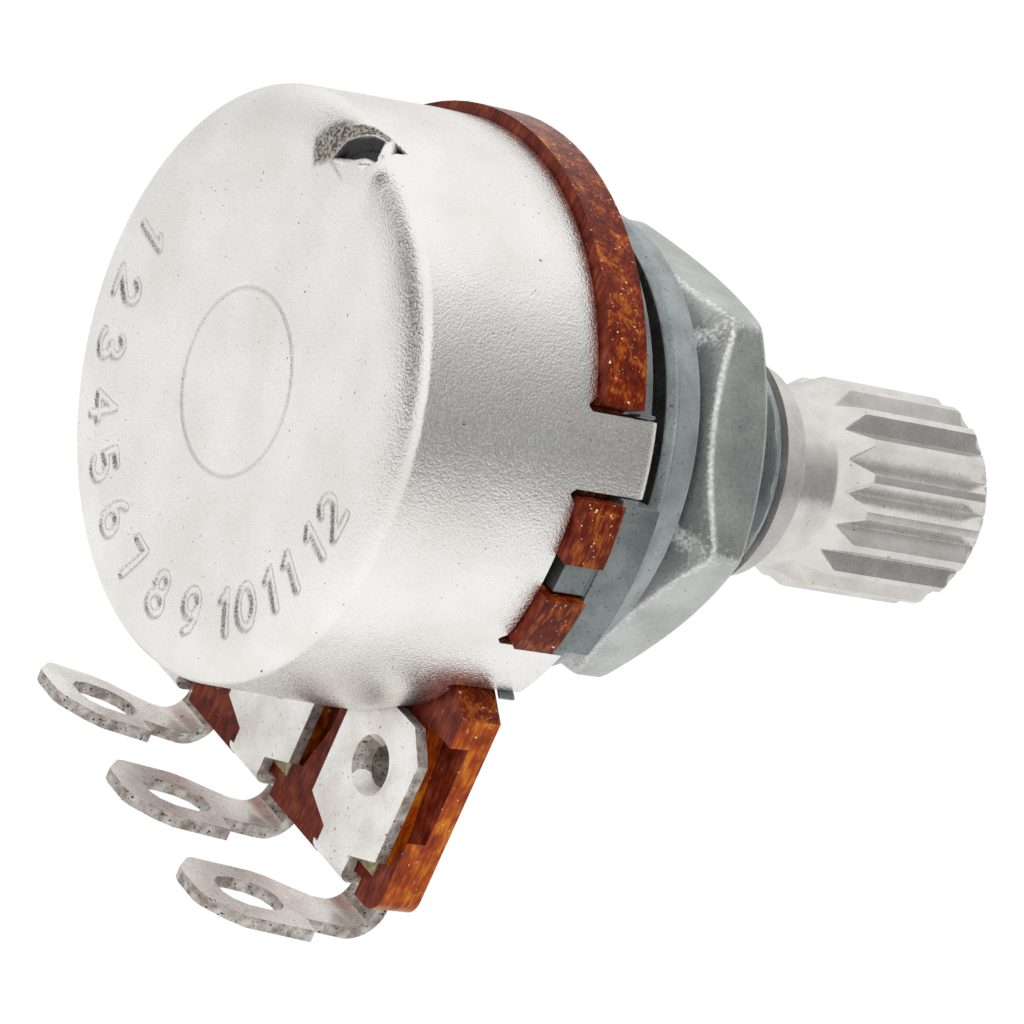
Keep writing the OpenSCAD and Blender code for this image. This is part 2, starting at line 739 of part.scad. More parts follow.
// Stamped wiper: a ring staked to the rotor, with one finger on the track and one on the collector
module wiper() {
    color("goldenrod") place() rotate([0, 0, rotor_angle]) {
        translate([0, 0, z_rotor_front])
            linear_extrude(wiper_t)
                difference() {
                    circle(wiper_out);
                    circle(wiper_in);
                    for (side = [-1, 1])
                        translate([0, side * post_reach]) circle(post_r + seat_gap);
                    // Window under the fingers
                    translate([-wiper_out - over, -window_half])
                        square([wiper_out + over - wiper_in + window_inner, finger_len - bar_w / 2 + window_half]);
                }
        translate([-track_r + track_w / 2 - finger_w / 2, finger_len - bar_w / 2, z_rotor_front])
            cube([track_r - track_w / 2 - wiper_in + finger_w / 2 + bar_lap, bar_w, wiper_t]);
        finger(track_r - track_w / 2);
        finger(ring_r);
    }
}

can();
wafer();
carbon_track();
track_pad_left();
track_pad_right();
collector_ring();
terminal_left();
terminal_middle();
terminal_right();
bushing();
nut();
thrust_washer();
shaft();
retaining_clip();
rotor();
wiper();
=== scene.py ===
"""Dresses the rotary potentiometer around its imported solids.

Everything is worked out in millimetres in the row frame and turned to metres when a mesh is made. X runs
along the shaft towards its tip, the terminal tongue points to -Z, and angles about the shaft go from +Y to +Z.
"""

import logging
import math
from dataclasses import dataclass, field
from enum import Enum

import bmesh
import bpy
import numpy as np
from mathutils import Matrix, Vector


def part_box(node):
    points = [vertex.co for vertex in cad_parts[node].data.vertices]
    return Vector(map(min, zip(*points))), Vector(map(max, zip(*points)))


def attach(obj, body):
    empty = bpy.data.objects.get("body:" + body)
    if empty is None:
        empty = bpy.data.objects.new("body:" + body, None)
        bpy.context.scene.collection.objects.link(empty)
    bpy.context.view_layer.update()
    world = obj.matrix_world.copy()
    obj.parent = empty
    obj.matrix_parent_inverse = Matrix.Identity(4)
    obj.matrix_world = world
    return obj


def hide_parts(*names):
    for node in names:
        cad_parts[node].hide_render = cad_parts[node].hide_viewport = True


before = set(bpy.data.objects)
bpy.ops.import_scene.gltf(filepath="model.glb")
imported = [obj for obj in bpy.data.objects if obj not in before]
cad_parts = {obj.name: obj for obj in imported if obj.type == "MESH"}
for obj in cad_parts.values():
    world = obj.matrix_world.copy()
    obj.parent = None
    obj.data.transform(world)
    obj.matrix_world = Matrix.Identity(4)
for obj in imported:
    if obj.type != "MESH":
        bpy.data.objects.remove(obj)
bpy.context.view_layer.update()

log = logging.getLogger("potentiometer")
MM = 0.001


class Body(Enum):
    """The two rigid bodies of the part."""

    HOUSING = "housing"
    SHAFT = "shaft_assembly"


def node_box(name: str) -> tuple[np.ndarray, np.ndarray]:
    """Box of a CAD node.

    Args:
        name: the node.

    Returns:
        Its lowest and highest corners in millimetres.
    """
    low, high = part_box(name)
    return np.array(low) / MM, np.array(high) / MM


def linear(code: str) -> tuple[float, float, float, float]:
    """Turns an sRGB hex colour to linear.

    Args:
        code: the colour as #RRGGBB.

    Returns:
        Red, green, blue and an alpha of 1.
    """
    parts = np.array([int(code[i:i + 2], 16) for i in (1, 3, 5)]) / 255.0
    parts = np.where(parts <= 0.04045, parts / 12.92, ((parts + 0.055) / 1.055) ** 2.4)
    return (*parts.tolist(), 1.0)


def per_mm(size: float) -> float:
    """Scale of a pattern on Object coordinates whose features are size millimetres apart."""
    return 1.0 / (size * MM)


def add(tree: bpy.types.NodeTree, kind: str, props: dict | None = None, feeds: dict | None = None) -> bpy.types.Node:
    """Adds one shader node.

    Args:
        tree: the node tree.
        kind: the node's type name.
        props: properties to set, where "stops" lists the (place, colour) pairs of a colour ramp.
        feeds: input name or number to a value, or to an output socket that is linked to it.

    Returns:
        The node.
    """
    made = tree.nodes.new(kind)
    for key, value in (props or {}).items():
        if key != "stops":
            setattr(made, key, value)
            continue
        elements = made.color_ramp.elements
        while len(elements) < len(value):
            elements.new(1.0)
        for element, (place, colour) in zip(elements, value):
            element.position = place
            element.color = colour
    for key, value in (feeds or {}).items():
        if isinstance(value, bpy.types.NodeSocket):
            tree.links.new(value, made.inputs[key])
        else:
            made.inputs[key].default_value = value
    return made


def grey(level: float) -> tuple[float, float, float, float]:
    """A ramp stop of one plain level."""
    return (level, level, level, 1.0)


@dataclass(frozen=True)
class Finish:
    """A material of the part, named for what the real one is.

    Fields: the material's name, and a slot name, which is not used.
    """

    name: str
    slot: str

    def start(self) -> tuple[bpy.types.NodeTree, bpy.types.NodeSocket, bpy.types.Node]:
        """Makes an empty material.

        Returns:
            Its node tree, the Object coordinates, and its surface shader.
        """
        material = bpy.data.materials.new(self.name)
        material.use_nodes = True
        tree = material.node_tree
        tree.nodes.clear()
        shader = add(tree, "ShaderNodeBsdfPrincipled")
        add(tree, "ShaderNodeOutputMaterial", feeds={"Surface": shader.outputs[0]})
        place = add(tree, "ShaderNodeTexCoord").outputs["Object"]
        return tree, place, shader

    def material(self) -> bpy.types.Material:
        """The finished material, made once."""
        if self.name not in bpy.data.materials:
            self.dress()
        return bpy.data.materials[self.name]

    def dress(self) -> None:
        """Builds the material's nodes. Each kind of finish has its own."""
        raise NotImplementedError


@dataclass(frozen=True)
class Metal(Finish):
    """A metal surface: soft patches of tone, fine specks, a grain in its gloss and a faint relief.

    Fields: main tone and its shade, size of their patches, colour and size of the specks, the level of noise
    above which a speck shows, lowest and highest roughness, size and height of the grain, size and height of the
    broader ripple, and how metallic it is. Sizes are in millimetres.
    """

    tone: str = "#E3E1DD"
    shade: str = "#CFCBC6"
    patch: float = 2.5
    speck: str = "#6E5B49"
    speck_size: float = 0.1
    speck_level: float = 0.74
    smooth: float = 0.26
    rough: float = 0.4
    grain: float = 0.07
    grain_height: float = 0.003
    ripple: float = 0.3
    ripple_height: float = 0.004
    metallic: float = 1.0

    def dress(self) -> None:
        """Builds the nodes."""
        tree, place, shader = self.start()
        self.lay(tree, place, shader)

    def lay(self, tree: bpy.types.NodeTree, place: bpy.types.NodeSocket, shader: bpy.types.Node
            ) -> tuple[bpy.types.NodeSocket, bpy.types.NodeSocket]:
        """Lays tone, gloss and relief on the shader.

        Args:
            tree: the node tree.
            place: Object coordinates.
            shader: the surface shader.

        Returns:
            The colour and the roughness, for a finish that adds to them.
        """
        patches, specks, grain, ripple = (
            add(tree, "ShaderNodeTexNoise", {}, {"Vector": place, "Scale": per_mm(size), "Detail": detail}).outputs[0]
            for size, detail in ((self.patch, 4.0), (self.speck_size, 1.0), (self.grain, 2.0), (self.ripple, 1.0)))
        tone = add(tree, "ShaderNodeValToRGB", {"stops": [(0.36, linear(self.shade)), (0.62, linear(self.tone))]},
                   {"Fac": patches}).outputs[0]
        specks = add(tree, "ShaderNodeMapRange", {"interpolation_type": "SMOOTHSTEP"},
                     {"Value": specks, "From Min": self.speck_level,
                      "From Max": self.speck_level + 0.05}).outputs[0]
        colour = add(tree, "ShaderNodeMix", {"data_type": "RGBA"},
                     {0: specks, 6: tone, 7: linear(self.speck)}).outputs[2]
        gloss = add(tree, "ShaderNodeMapRange", {},
                    {"Value": grain, "From Min": 0.35, "From Max": 0.65, "To Min": self.smooth,
                     "To Max": self.rough}).outputs[0]
        broad = add(tree, "ShaderNodeBump", {},
                    {"Height": ripple, "Distance": self.ripple_height * MM, "Strength": 1.0}).outputs[0]
        relief = add(tree, "ShaderNodeBump", {},
                     {"Height": grain, "Distance": self.grain_height * MM, "Strength": 1.0, "Normal": broad}
                     ).outputs[0]
        for key, value in {"Base Color": colour, "Roughness": gloss, "Normal": relief}.items():
            tree.links.new(value, shader.inputs[key])
        shader.inputs["Metallic"].default_value = self.metallic
        return colour, gloss


@dataclass(frozen=True)
class DrawnTinPlate(Metal):
    """Tin plate drawn to a cup. Painted shade darkens its stamped grooves and the creases at the stop, torn sheet is
    dull and scuffed, and painted shade makes the hole black.

    Fields: colours of torn sheet, its scuffs, the painted shade in grooves and creases and the painted shade in the
    hole, size in millimetres of the grains that break up the painted shade in grooves and creases and of the scuffs,
    and roughness of torn sheet.
    """

    torn: str = "#C4BFB6"
    scuff: str = "#6E6860"
    # painted shade: the colour that darkens grooves and creases, then the black of the hole
    dirt: str = "#5E5952"
    hole: str = "#060505"
    dirt_grain: float = 0.07
    scuff_grain: float = 0.09
    torn_roughness: float = 0.7

    def dress(self) -> None:
        """Builds the nodes, with three attributes on top of the plain plate: painted shade in grooves and creases,
        torn sheet, and painted shade that blackens the hole.
        """
        tree, place, shader = self.start()
        colour, gloss = self.lay(tree, place, shader)
        dirt, torn, pit = (add(tree, "ShaderNodeAttribute", {"attribute_name": name}).outputs["Fac"]
                           for name in ("dirt", "torn", "pit"))
        grains, stipple = (
            add(tree, "ShaderNodeTexNoise", {}, {"Vector": place, "Scale": per_mm(size), "Detail": 2.0}).outputs[0]
            for size in (self.dirt_grain, self.scuff_grain))
        # grains break up the painted shade in grooves and creases
        broken = add(tree, "ShaderNodeMapRange", {},
                     {"Value": grains, "From Min": 0.36, "From Max": 0.6, "To Min": 0.35}).outputs[0]
        dirt = add(tree, "ShaderNodeMath", {"operation": "MULTIPLY"}, {0: dirt, 1: broken}).outputs[0]
        scuffs_and_crease_shade = add(tree, "ShaderNodeValToRGB", {"stops": [(0.42, linear(self.scuff)), (0.58, linear(self.torn))]},
                      {"Fac": stipple}).outputs[0]
        # painted shade in grooves and creases, the torn sheet, and the painted black shade in the hole, one over
        # another
        for share, layer in ((dirt, linear(self.dirt)), (torn, scuffs_and_crease_shade), (pit, linear(self.hole))):
            colour = add(tree, "ShaderNodeMix", {"data_type": "RGBA"}, {0: share, 6: colour, 7: layer}).outputs[2]
        dull = add(tree, "ShaderNodeMath", {"operation": "MULTIPLY"}, {0: torn, 1: self.torn_roughness}).outputs[0]
        rough = add(tree, "ShaderNodeMath", {"operation": "MAXIMUM"}, {0: gloss, 1: dull}).outputs[0]
        # the painted hole shade also takes away the metal, so that the hole stays black
        sheen = add(tree, "ShaderNodeMath", {"operation": "MULTIPLY_ADD", "use_clamp": True},
                    {0: pit, 1: -1.0, 2: self.metallic}).outputs[0]
        for key, value in {"Base Color": colour, "Roughness": rough, "Metallic": sheen}.items():
            tree.links.new(value, shader.inputs[key])


@dataclass(frozen=True)
class WornMetal(Metal):
    """Plated metal whose edges are worn bright and carry a painted highlight, where an attribute says so.

    Fields: colour of the worn places with their painted highlight, the size in millimetres of the grains at their
    border, and how much less metallic they are.
    """

    bare: str = "#ECEAE5"
    fray: float = 0.1
    bare_loss: float = 0.55

    def dress(self) -> None:
        """Builds the nodes. Noise frays the border of the worn places and their painted highlight."""
        tree, place, shader = self.start()
        colour, gloss = self.lay(tree, place, shader)
        worn = add(tree, "ShaderNodeAttribute", {"attribute_name": "worn"}).outputs["Fac"]
        fray = add(tree, "ShaderNodeTexNoise", {}, {"Vector": place, "Scale": per_mm(self.fray), "Detail": 3.0})
        frayed = add(tree, "ShaderNodeMath", {"operation": "ADD"}, {0: worn, 1: fray.outputs[0]}).outputs[0]
        share = add(tree, "ShaderNodeMapRange", {"interpolation_type": "SMOOTHSTEP"},
                    {"Value": frayed, "From Min": 0.78, "From Max": 1.3}).outputs[0]
        # wear and painted highlight: the marked places turn paler and less metallic
        bright = add(tree, "ShaderNodeMix", {"data_type": "RGBA"}, {0: share, 6: colour, 7: linear(self.bare)})
        tree.links.new(bright.outputs[2], shader.inputs["Base Color"])
        plain = add(tree, "ShaderNodeMath", {"operation": "MULTIPLY_ADD"},
                    {0: share, 1: -self.bare_loss, 2: self.metallic})
        tree.links.new(plain.outputs[0], shader.inputs["Metallic"])


@dataclass(frozen=True)
class TurnedMetal(Metal):
    """Metal from the lathe, with the tool's fine rings about the shaft.

    Fields: distance between rings and their height, in millimetres.
    """

    ring: float = 0.09
    ring_height: float = 0.0012

    def dress(self) -> None:
        """Builds the nodes, with noise that changes only along the shaft."""
        tree, place, shader = self.start()
        self.lay(tree, place, shader)
        along = add(tree, "ShaderNodeSeparateXYZ", {}, {"Vector": place}).outputs["X"]
        steps = add(tree, "ShaderNodeTexNoise", {"noise_dimensions": "1D"},
                    {"W": along, "Scale": per_mm(self.ring), "Detail": 2.0}).outputs[0]
        under = shader.inputs["Normal"].links[0].from_socket
        rings = add(tree, "ShaderNodeBump", {},
                    {"Height": steps, "Distance": self.ring_height * MM, "Strength": 1.0, "Normal": under}
                    ).outputs[0]
        tree.links.new(rings, shader.inputs["Normal"])


@dataclass(frozen=True)
class Laminate(Finish):
    """Paper laminate with phenolic resin: fibres in a brown ground, under a thin gloss.

    Fields: dark, middle and light tones, size of their clouds, width of the fibres, colour and size of the paper
    flecks, level of noise above which a fleck shows, roughness, height of the relief, weight of the coat of resin,
    and level of the ground's own reflection. Sizes are in millimetres.
    """

    deep: str = "#7C3520"
    middle: str = "#A65138"
    pale: str = "#BE7A5C"
    cloud: float = 0.8
    fibre: float = 0.12
    fleck: str = "#F3D9A0"
    fleck_size: float = 0.11
    fleck_level: float = 0.7
    roughness: float = 0.36
    relief: float = 0.006
    coat: float = 0.25
    specular: float = 0.12

    def dress(self) -> None:
        """Builds the nodes. The fibres are noise drawn out five times along the tongue."""
        tree, place, shader = self.start()
        drawn = add(tree, "ShaderNodeMapping", {}, {"Vector": place, "Scale": (1.0, 1.0, 0.2)}).outputs[0]
        clouds, fibres, grains = (
            add(tree, "ShaderNodeTexNoise", {}, {"Vector": way, "Scale": per_mm(size), "Detail": detail}).outputs[0]
            for way, size, detail in ((place, self.cloud, 6.0), (drawn, self.fibre, 3.0),
                                      (place, self.fleck_size, 2.0)))
        both = add(tree, "ShaderNodeMix", {"data_type": "FLOAT"}, {0: 0.45, 2: clouds, 3: fibres}).outputs[0]
        ground = add(tree, "ShaderNodeValToRGB",
                     {"stops": [(0.36, linear(self.deep)), (0.5, linear(self.middle)), (0.66, linear(self.pale))]},
                     {"Fac": both}).outputs[0]
        flecks = add(tree, "ShaderNodeMapRange", {"interpolation_type": "SMOOTHSTEP"},
                     {"Value": grains, "From Min": self.fleck_level,
                      "From Max": self.fleck_level + 0.06}).outputs[0]
        colour = add(tree, "ShaderNodeMix", {"data_type": "RGBA"},
                     {0: flecks, 6: ground, 7: linear(self.fleck)}).outputs[2]
        relief = add(tree, "ShaderNodeBump", {},
                     {"Height": fibres, "Distance": self.relief * MM, "Strength": 1.0}).outputs[0]
        tree.links.new(colour, shader.inputs["Base Color"])
        tree.links.new(relief, shader.inputs["Normal"])
        for key, value in {"Roughness": self.roughness, "IOR": 1.55, "Specular IOR Level": self.specular,
                           "Coat Weight": self.coat, "Coat Roughness": 0.2}.items():
            shader.inputs[key].default_value = value


@dataclass(frozen=True)
class PlainStuff(Finish):
    """A plain moulded or printed surface with a faint mottle.

    Fields: tone and shade, size of the mottle and height of the relief in millimetres, roughness, and metallic.
    """

    tone: str = "#3A3A3C"
    shade: str = "#2E2E30"
    mottle: float = 0.3
    relief: float = 0.004
    roughness: float = 0.5
    metallic: float = 0.0

    def dress(self) -> None:
        """Builds the nodes."""
        tree, place, shader = self.start()
        mottle = add(tree, "ShaderNodeTexNoise", {},
                     {"Vector": place, "Scale": per_mm(self.mottle), "Detail": 3.0}).outputs[0]
        colour = add(tree, "ShaderNodeValToRGB", {"stops": [(0.38, linear(self.shade)), (0.6, linear(self.tone))]},
                     {"Fac": mottle}).outputs[0]
        relief = add(tree, "ShaderNodeBump", {},
                     {"Height": mottle, "Distance": self.relief * MM, "Strength": 1.0}).outputs[0]
        tree.links.new(colour, shader.inputs["Base Color"])
        tree.links.new(relief, shader.inputs["Normal"])
        shader.inputs["Roughness"].default_value = self.roughness
        shader.inputs["Metallic"].default_value = self.metallic


# Bright tin on drawn steel: a pale warm grey whose fine orange peel breaks the dark reflections into grains
TIN_PLATE = DrawnTinPlate("drawn_tin_plate", "tinned_steel", tone="#F3F2EF", shade="#EAE8E3", patch=2.2,
                          speck="#7A6450", speck_size=0.1, speck_level=0.75, smooth=0.2, rough=0.34,
                          grain=0.065, grain_height=0.016, ripple=0.32, ripple_height=0.006, metallic=1.0)
# The flat of the laminate: dull reddish brown with fine fibres
LAMINATE_FACE = Laminate("phenolic_paper_face", "phenolic_laminate", deep="#45120A", middle="#6C2616",
                         pale="#8C442E", cloud=0.5, fibre=0.1, fleck="#C98E74", fleck_level=0.72,
                         roughness=0.42, relief=0.006, coat=0.0)
# Its punched edge: deep red-brown resin with glinting paper grains
LAMINATE_EDGE = Laminate("phenolic_paper_punched_edge", "phenolic_laminate", deep="#3E0D03", middle="#661C06",
                         pale="#A85A16", cloud=0.55, fibre=0.09, fleck="#F0D9A8", fleck_level=0.67,
                         roughness=0.3, relief=0.016, coat=0.03)
# The tongue's edge, where light comes through the resin: orange amber
LAMINATE_TONGUE = Laminate("phenolic_paper_tongue_edge", "phenolic_laminate", deep="#6E2005", middle="#9C3F07",
                           pale="#CE7A16", cloud=0.5, fibre=0.12, fleck="#F0D9A8", fleck_level=0.7,
                           roughness=0.28, relief=0.02, coat=0.05)
# White tin on soft brass, satin and faintly scratched
TINNED_BRASS = Metal("tinned_brass_strip", "tinned_brass", tone="#F5F3F0", shade="#E4DFD8", patch=0.9,
                     speck="#8F6A50", speck_size=0.12, speck_level=0.72, smooth=0.26, rough=0.4, grain=0.09,
                     grain_height=0.004, ripple=0.35, ripple_height=0.008, metallic=0.5)
# The strip's sheared edge: grey, pitted and tinged with bare brass
SHEARED_BRASS = Metal("sheared_brass_edge", "tinned_brass", tone="#CBC6C0", shade="#8F837A", patch=0.35,
                      speck="#3A322C", speck_size=0.09, speck_level=0.64, smooth=0.36, rough=0.6, grain=0.08,
                      grain_height=0.02, ripple=0.2, ripple_height=0.02, metallic=0.6)
# The cast skin of the zinc: dark blue-grey, grainy, with a soft shine
CAST_ZINC = Metal("zinc_die_casting", "zinc_casting", tone="#8A9090", shade="#737979", patch=1.1,
                  speck="#55585A", speck_size=0.09, speck_level=0.66, smooth=0.36, rough=0.56, grain=0.08,
                  grain_height=0.012, ripple=0.4, ripple_height=0.012, metallic=0.85)
# The flange, turned after casting: paler than the cast skin
TURNED_ZINC = Metal("turned_zinc_flange", "zinc_casting", tone="#A3AAAB", shade="#8D9495", patch=0.9,
                    speck="#5C5F62", speck_size=0.08, speck_level=0.68, smooth=0.32, rough=0.5, grain=0.07,
                    grain_height=0.008, ripple=0.4, ripple_height=0.012, metallic=0.85)
# The smooth end of the bushing, turned last and the brightest part of it
BRIGHT_ZINC = Metal("bright_turned_zinc_end", "zinc_casting", tone="#CAC8C4", shade="#B4B2AE", patch=0.9,
                    speck="#8A8782", speck_size=0.08, speck_level=0.74, smooth=0.24, rough=0.36, grain=0.07,
                    grain_height=0.003, ripple=0.4, ripple_height=0.006, metallic=0.6)
# Painted shade in the gap behind the flange: the hub there is painted a nearly black olive
GAP_SHADE_ZINC = Metal("painted_shade_zinc_in_gap", "zinc_casting", tone="#4A4B44", shade="#33342E", patch=0.6,
                  speck="#77786F", speck_size=0.08, speck_level=0.68, smooth=0.4, rough=0.6, grain=0.08,
                  grain_height=0.008, metallic=0.7)
# Zinc plate on the steel nut, worn bright on its corners, with painted highlights on its corners and along its rear
# edge
NUT_ZINC = WornMetal("zinc_plated_steel_nut", "zinc_plated_steel", tone="#C2C4C1", shade="#A8ABA9", patch=1.6,
                     speck="#6A6762", speck_size=0.1, speck_level=0.72, smooth=0.26, rough=0.42, grain=0.09,
                     grain_height=0.006, ripple=0.5, ripple_height=0.012, metallic=0.9)
# Aluminium from the lathe: pale, with soft bright reflections and a few amber specks, which are painted reddish
# reflections
SHAFT_METAL = TurnedMetal("turned_aluminium_shaft", "turned_aluminium", tone="#DEDBD7", shade="#CFCBC6", patch=0.9,
                          speck="#B07A2C", speck_size=0.14, speck_level=0.745, smooth=0.18, rough=0.3,
                          grain=0.1, grain_height=0.002, ripple=0.5, ripple_height=0.004, metallic=0.85)
# Rolled strip of clip and washer
STRIP_STEEL = Metal("rolled_strip_steel", "washer_steel", tone="#A9ACB0", shade="#94979B", smooth=0.25, rough=0.4)
# Silver ink gone beige and green with age
SILVER_INK = PlainStuff("printed_silver_ink", "silver_ink", tone="#B8AD84", shade="#8C8260", mottle=0.16,
                        relief=0.02, roughness=0.42, metallic=0.6)
# Matt resistive film
CARBON_INK = PlainStuff("printed_carbon_film", "carbon_ink", tone="#2A2A2C", shade="#1C1C1E", roughness=0.75)
# Moulded carrier, dull from its mould
CARRIER = PlainStuff("moulded_nylon_carrier", "carrier_plastic", tone="#4A4A4C", shade="#3C3C3E", roughness=0.55)
# Rolled bronze of the wiper
BRONZE = Metal("rolled_spring_bronze", "spring_bronze", tone="#CFA467", shade="#B98C50", smooth=0.22, rough=0.36)


class Patches:
    """One mesh made of patches. A patch is a 2-D array of vertex numbers, and neighbours share the numbers on
    their common edge, so the whole is closed."""

    def __init__(self) -> None:
        """Starts with no vertices."""
        self.points: list[np.ndarray] = []
        self.count = 0
        self.quads: list[np.ndarray] = []
        self.tris: list[np.ndarray] = []

    def put(self, points: np.ndarray) -> np.ndarray:
        """Adds vertices.

        Args:
            points: an array of any shape whose last axis is x, y, z in millimetres.

        Returns:
            Their numbers, in the same shape without the last axis.
        """
        flat = points.reshape(-1, 3)
        numbers = np.arange(self.count, self.count + len(flat)).reshape(points.shape[:-1])
        self.points.append(flat)
        self.count += len(flat)
        return numbers

    def span(self, numbers: np.ndarray, around: bool = False) -> None:
        """Fills a patch with a quad between each pair of rows and of columns.

        Args:
            numbers: the patch.
            around: whether the last column joins the first.
        """
        if around:
            numbers = np.concatenate([numbers, numbers[:, :1]], axis=1)
        corners = [numbers[:-1, :-1], numbers[:-1, 1:], numbers[1:, 1:], numbers[1:, :-1]]
        self.quads.append(np.stack(corners, axis=-1).reshape(-1, 4))

    def fan(self, ring: np.ndarray, centre: int) -> None:
        """Closes a ring of vertices with triangles to one centre vertex."""
        self.tris.append(np.stack([ring, np.roll(ring, -1), np.full(len(ring), centre)], axis=-1))

    def make(self, name: str, marks: dict[str, np.ndarray] | None = None) -> bpy.types.Object:
        """Makes the object, without the vertices that no face uses.

        Args:
            name: the object's name.
            marks: attribute name to one value for each vertex.

        Returns:
            The object, with smooth faces that point outwards and sharp edges past 38 degrees.
        """
        faces = np.concatenate([part.reshape(-1) for part in self.quads + self.tris])
        used, packed = np.unique(faces, return_inverse=True)
        points = np.concatenate(self.points)[used] * MM
        split = sum(part.size for part in self.quads)
        rows = packed[:split].reshape(-1, 4).tolist() + packed[split:].reshape(-1, 3).tolist()
        mesh = bpy.data.meshes.new(name)
        mesh.from_pydata(points, [], rows)
        for key, values in (marks or {}).items():
            mesh.attributes.new(key, "FLOAT", "POINT").data.foreach_set("value", values[used].astype(np.float32))
        work = bmesh.new()
        work.from_mesh(mesh)
        bmesh.ops.recalc_face_normals(work, faces=work.faces)
        work.to_mesh(mesh)
        work.free()
        mesh.shade_smooth()
        mesh.set_sharp_from_angle(angle=math.radians(38))
        piece = bpy.data.objects.new(name, mesh)
        bpy.context.scene.collection.objects.link(piece)
        return piece


def soften(profile: np.ndarray, radius: float, steps: int = 4, keep_ends: bool = True) -> np.ndarray:
    """Rounds the corners of an open outline.

    Each inner corner gives way to a quadratic curve that starts and ends one radius from it, or nearly half
    the side where the side is short.

    Args:
        profile: corners, as (corners, ..., 2).
        radius: distance from the corner at which the curve starts, in millimetres.
        steps: segments of each curve.
        keep_ends: whether the first and last corners are put back.

    Returns:
        The outline, as (points, ..., 2).
    """
    before, corner, after = profile[:-2], profile[1:-1], profile[2:]
    back = np.linalg.norm(before - corner, axis=-1, keepdims=True)
    on = np.linalg.norm(after - corner, axis=-1, keepdims=True)
    start = corner + (before - corner) * np.minimum(radius / np.maximum(back, 1e-6), 0.45)
    end = corner + (after - corner) * np.minimum(radius / np.maximum(on, 1e-6), 0.45)
    t = np.linspace(0, 1, steps + 1).reshape((1, -1) + (1,) * (profile.ndim - 1))
    curve = (1 - t) ** 2 * start[:, None] + 2 * t * (1 - t) * corner[:, None] + t ** 2 * end[:, None]
    curve = curve.reshape((-1,) + profile.shape[1:])
    return np.concatenate([profile[:1], curve, profile[-1:]]) if keep_ends else curve


def refine(profile: np.ndarray, step: float) -> np.ndarray:
    """Adds points to an outline until no side is longer than step.

    Args:
        profile: points, as (points, 2).
        step: longest side in millimetres.

    Returns:
        The outline with points added evenly along its long sides.
    """
    lengths = np.linalg.norm(np.diff(profile, axis=0), axis=1)
    parts = np.maximum(1, np.ceil(lengths / step)).astype(int)
    index = np.repeat(np.arange(len(parts)), parts)
    share = np.concatenate([np.arange(n) / n for n in parts])[:, None]
    inner = profile[index] * (1 - share) + profile[index + 1] * share
    return np.concatenate([inner, profile[-1:]])


def on_axis(x: np.ndarray, r: np.ndarray, phi: np.ndarray) -> np.ndarray:
    """Points about the shaft's axis.

    Args:
        x: stations along the shaft.
        r: radii.
        phi: angles from +Y to +Z, in radians. All three broadcast together.

    Returns:
        x, r cos phi and r sin phi on a last axis.
    """
    x, r, phi = np.broadcast_arrays(x, r, phi)
    return np.stack([x, r * np.cos(phi), r * np.sin(phi)], axis=-1)


def turned(name: str, x: np.ndarray, r: np.ndarray, phi: np.ndarray,
           marks: dict[str, np.ndarray] | None = None) -> bpy.types.Object:
    """A closed ring-shaped or solid turned piece.

    The outline runs once along the section, and its last row joins its first. Where the first and last radii
    are zero, they are two poles instead.

    Args:
        name: the object's name.
        x: stations, as (rows,) or (rows, columns).
        r: radii, in the same shape.
        phi: angles of the columns in radians.
        marks: attribute name to a value for each row and column, on a ring-shaped piece.

    Returns:
        The object.
    """
    shape = (len(x), len(phi))
    x = np.broadcast_to(x.reshape(len(x), -1), shape)
    r = np.broadcast_to(r.reshape(len(r), -1), shape)
    patches = Patches()
    solid = r[0].max() < 1e-6 and r[-1].max() < 1e-6
    rows = slice(1, -1) if solid else slice(None)
    numbers = patches.put(on_axis(x[rows], r[rows], phi))
    if solid:
        poles = patches.put(np.array([[x[0, 0], 0, 0], [x[-1, 0], 0, 0]]))
        patches.fan(numbers[0], poles[0])
        patches.fan(numbers[-1], poles[1])
    else:
        numbers = np.concatenate([numbers, numbers[:1]])
    patches.span(numbers, around=True)
    return patches.make(name, {key: value.reshape(-1) for key, value in (marks or {}).items()})


def smooth_step(low: float, high: float, value: np.ndarray) -> np.ndarray:
    """Rises from 0 at low to 1 at high with level ends: 3 t squared minus 2 t cubed."""
    t = np.clip((value - low) / (high - low), 0, 1)
    return t * t * (3 - 2 * t)


def strokes_distance(s: np.ndarray, t: np.ndarray, strokes: list[np.ndarray]) -> np.ndarray:
    """Distance from each point to the nearest of some open strokes.

    Args:
        s: first coordinate of the points.
        t: second coordinate.
        strokes: one array of corners, as (corners, 2), for each stroke.

    Returns:
        The distance, in the shape of s.
    """
    here = np.stack([s, t], axis=-1)
    starts = np.concatenate([stroke[:-1] for stroke in strokes])
    ends = np.concatenate([stroke[1:] for stroke in strokes])
    best = np.full(s.shape, np.inf)
    for start, end in zip(starts, ends):
        side = end - start
        share = np.clip(((here - start) @ side) / max(side @ side, 1e-9), 0, 1)
        best = np.minimum(best, np.linalg.norm(here - start - share[..., None] * side, axis=-1))
    return best


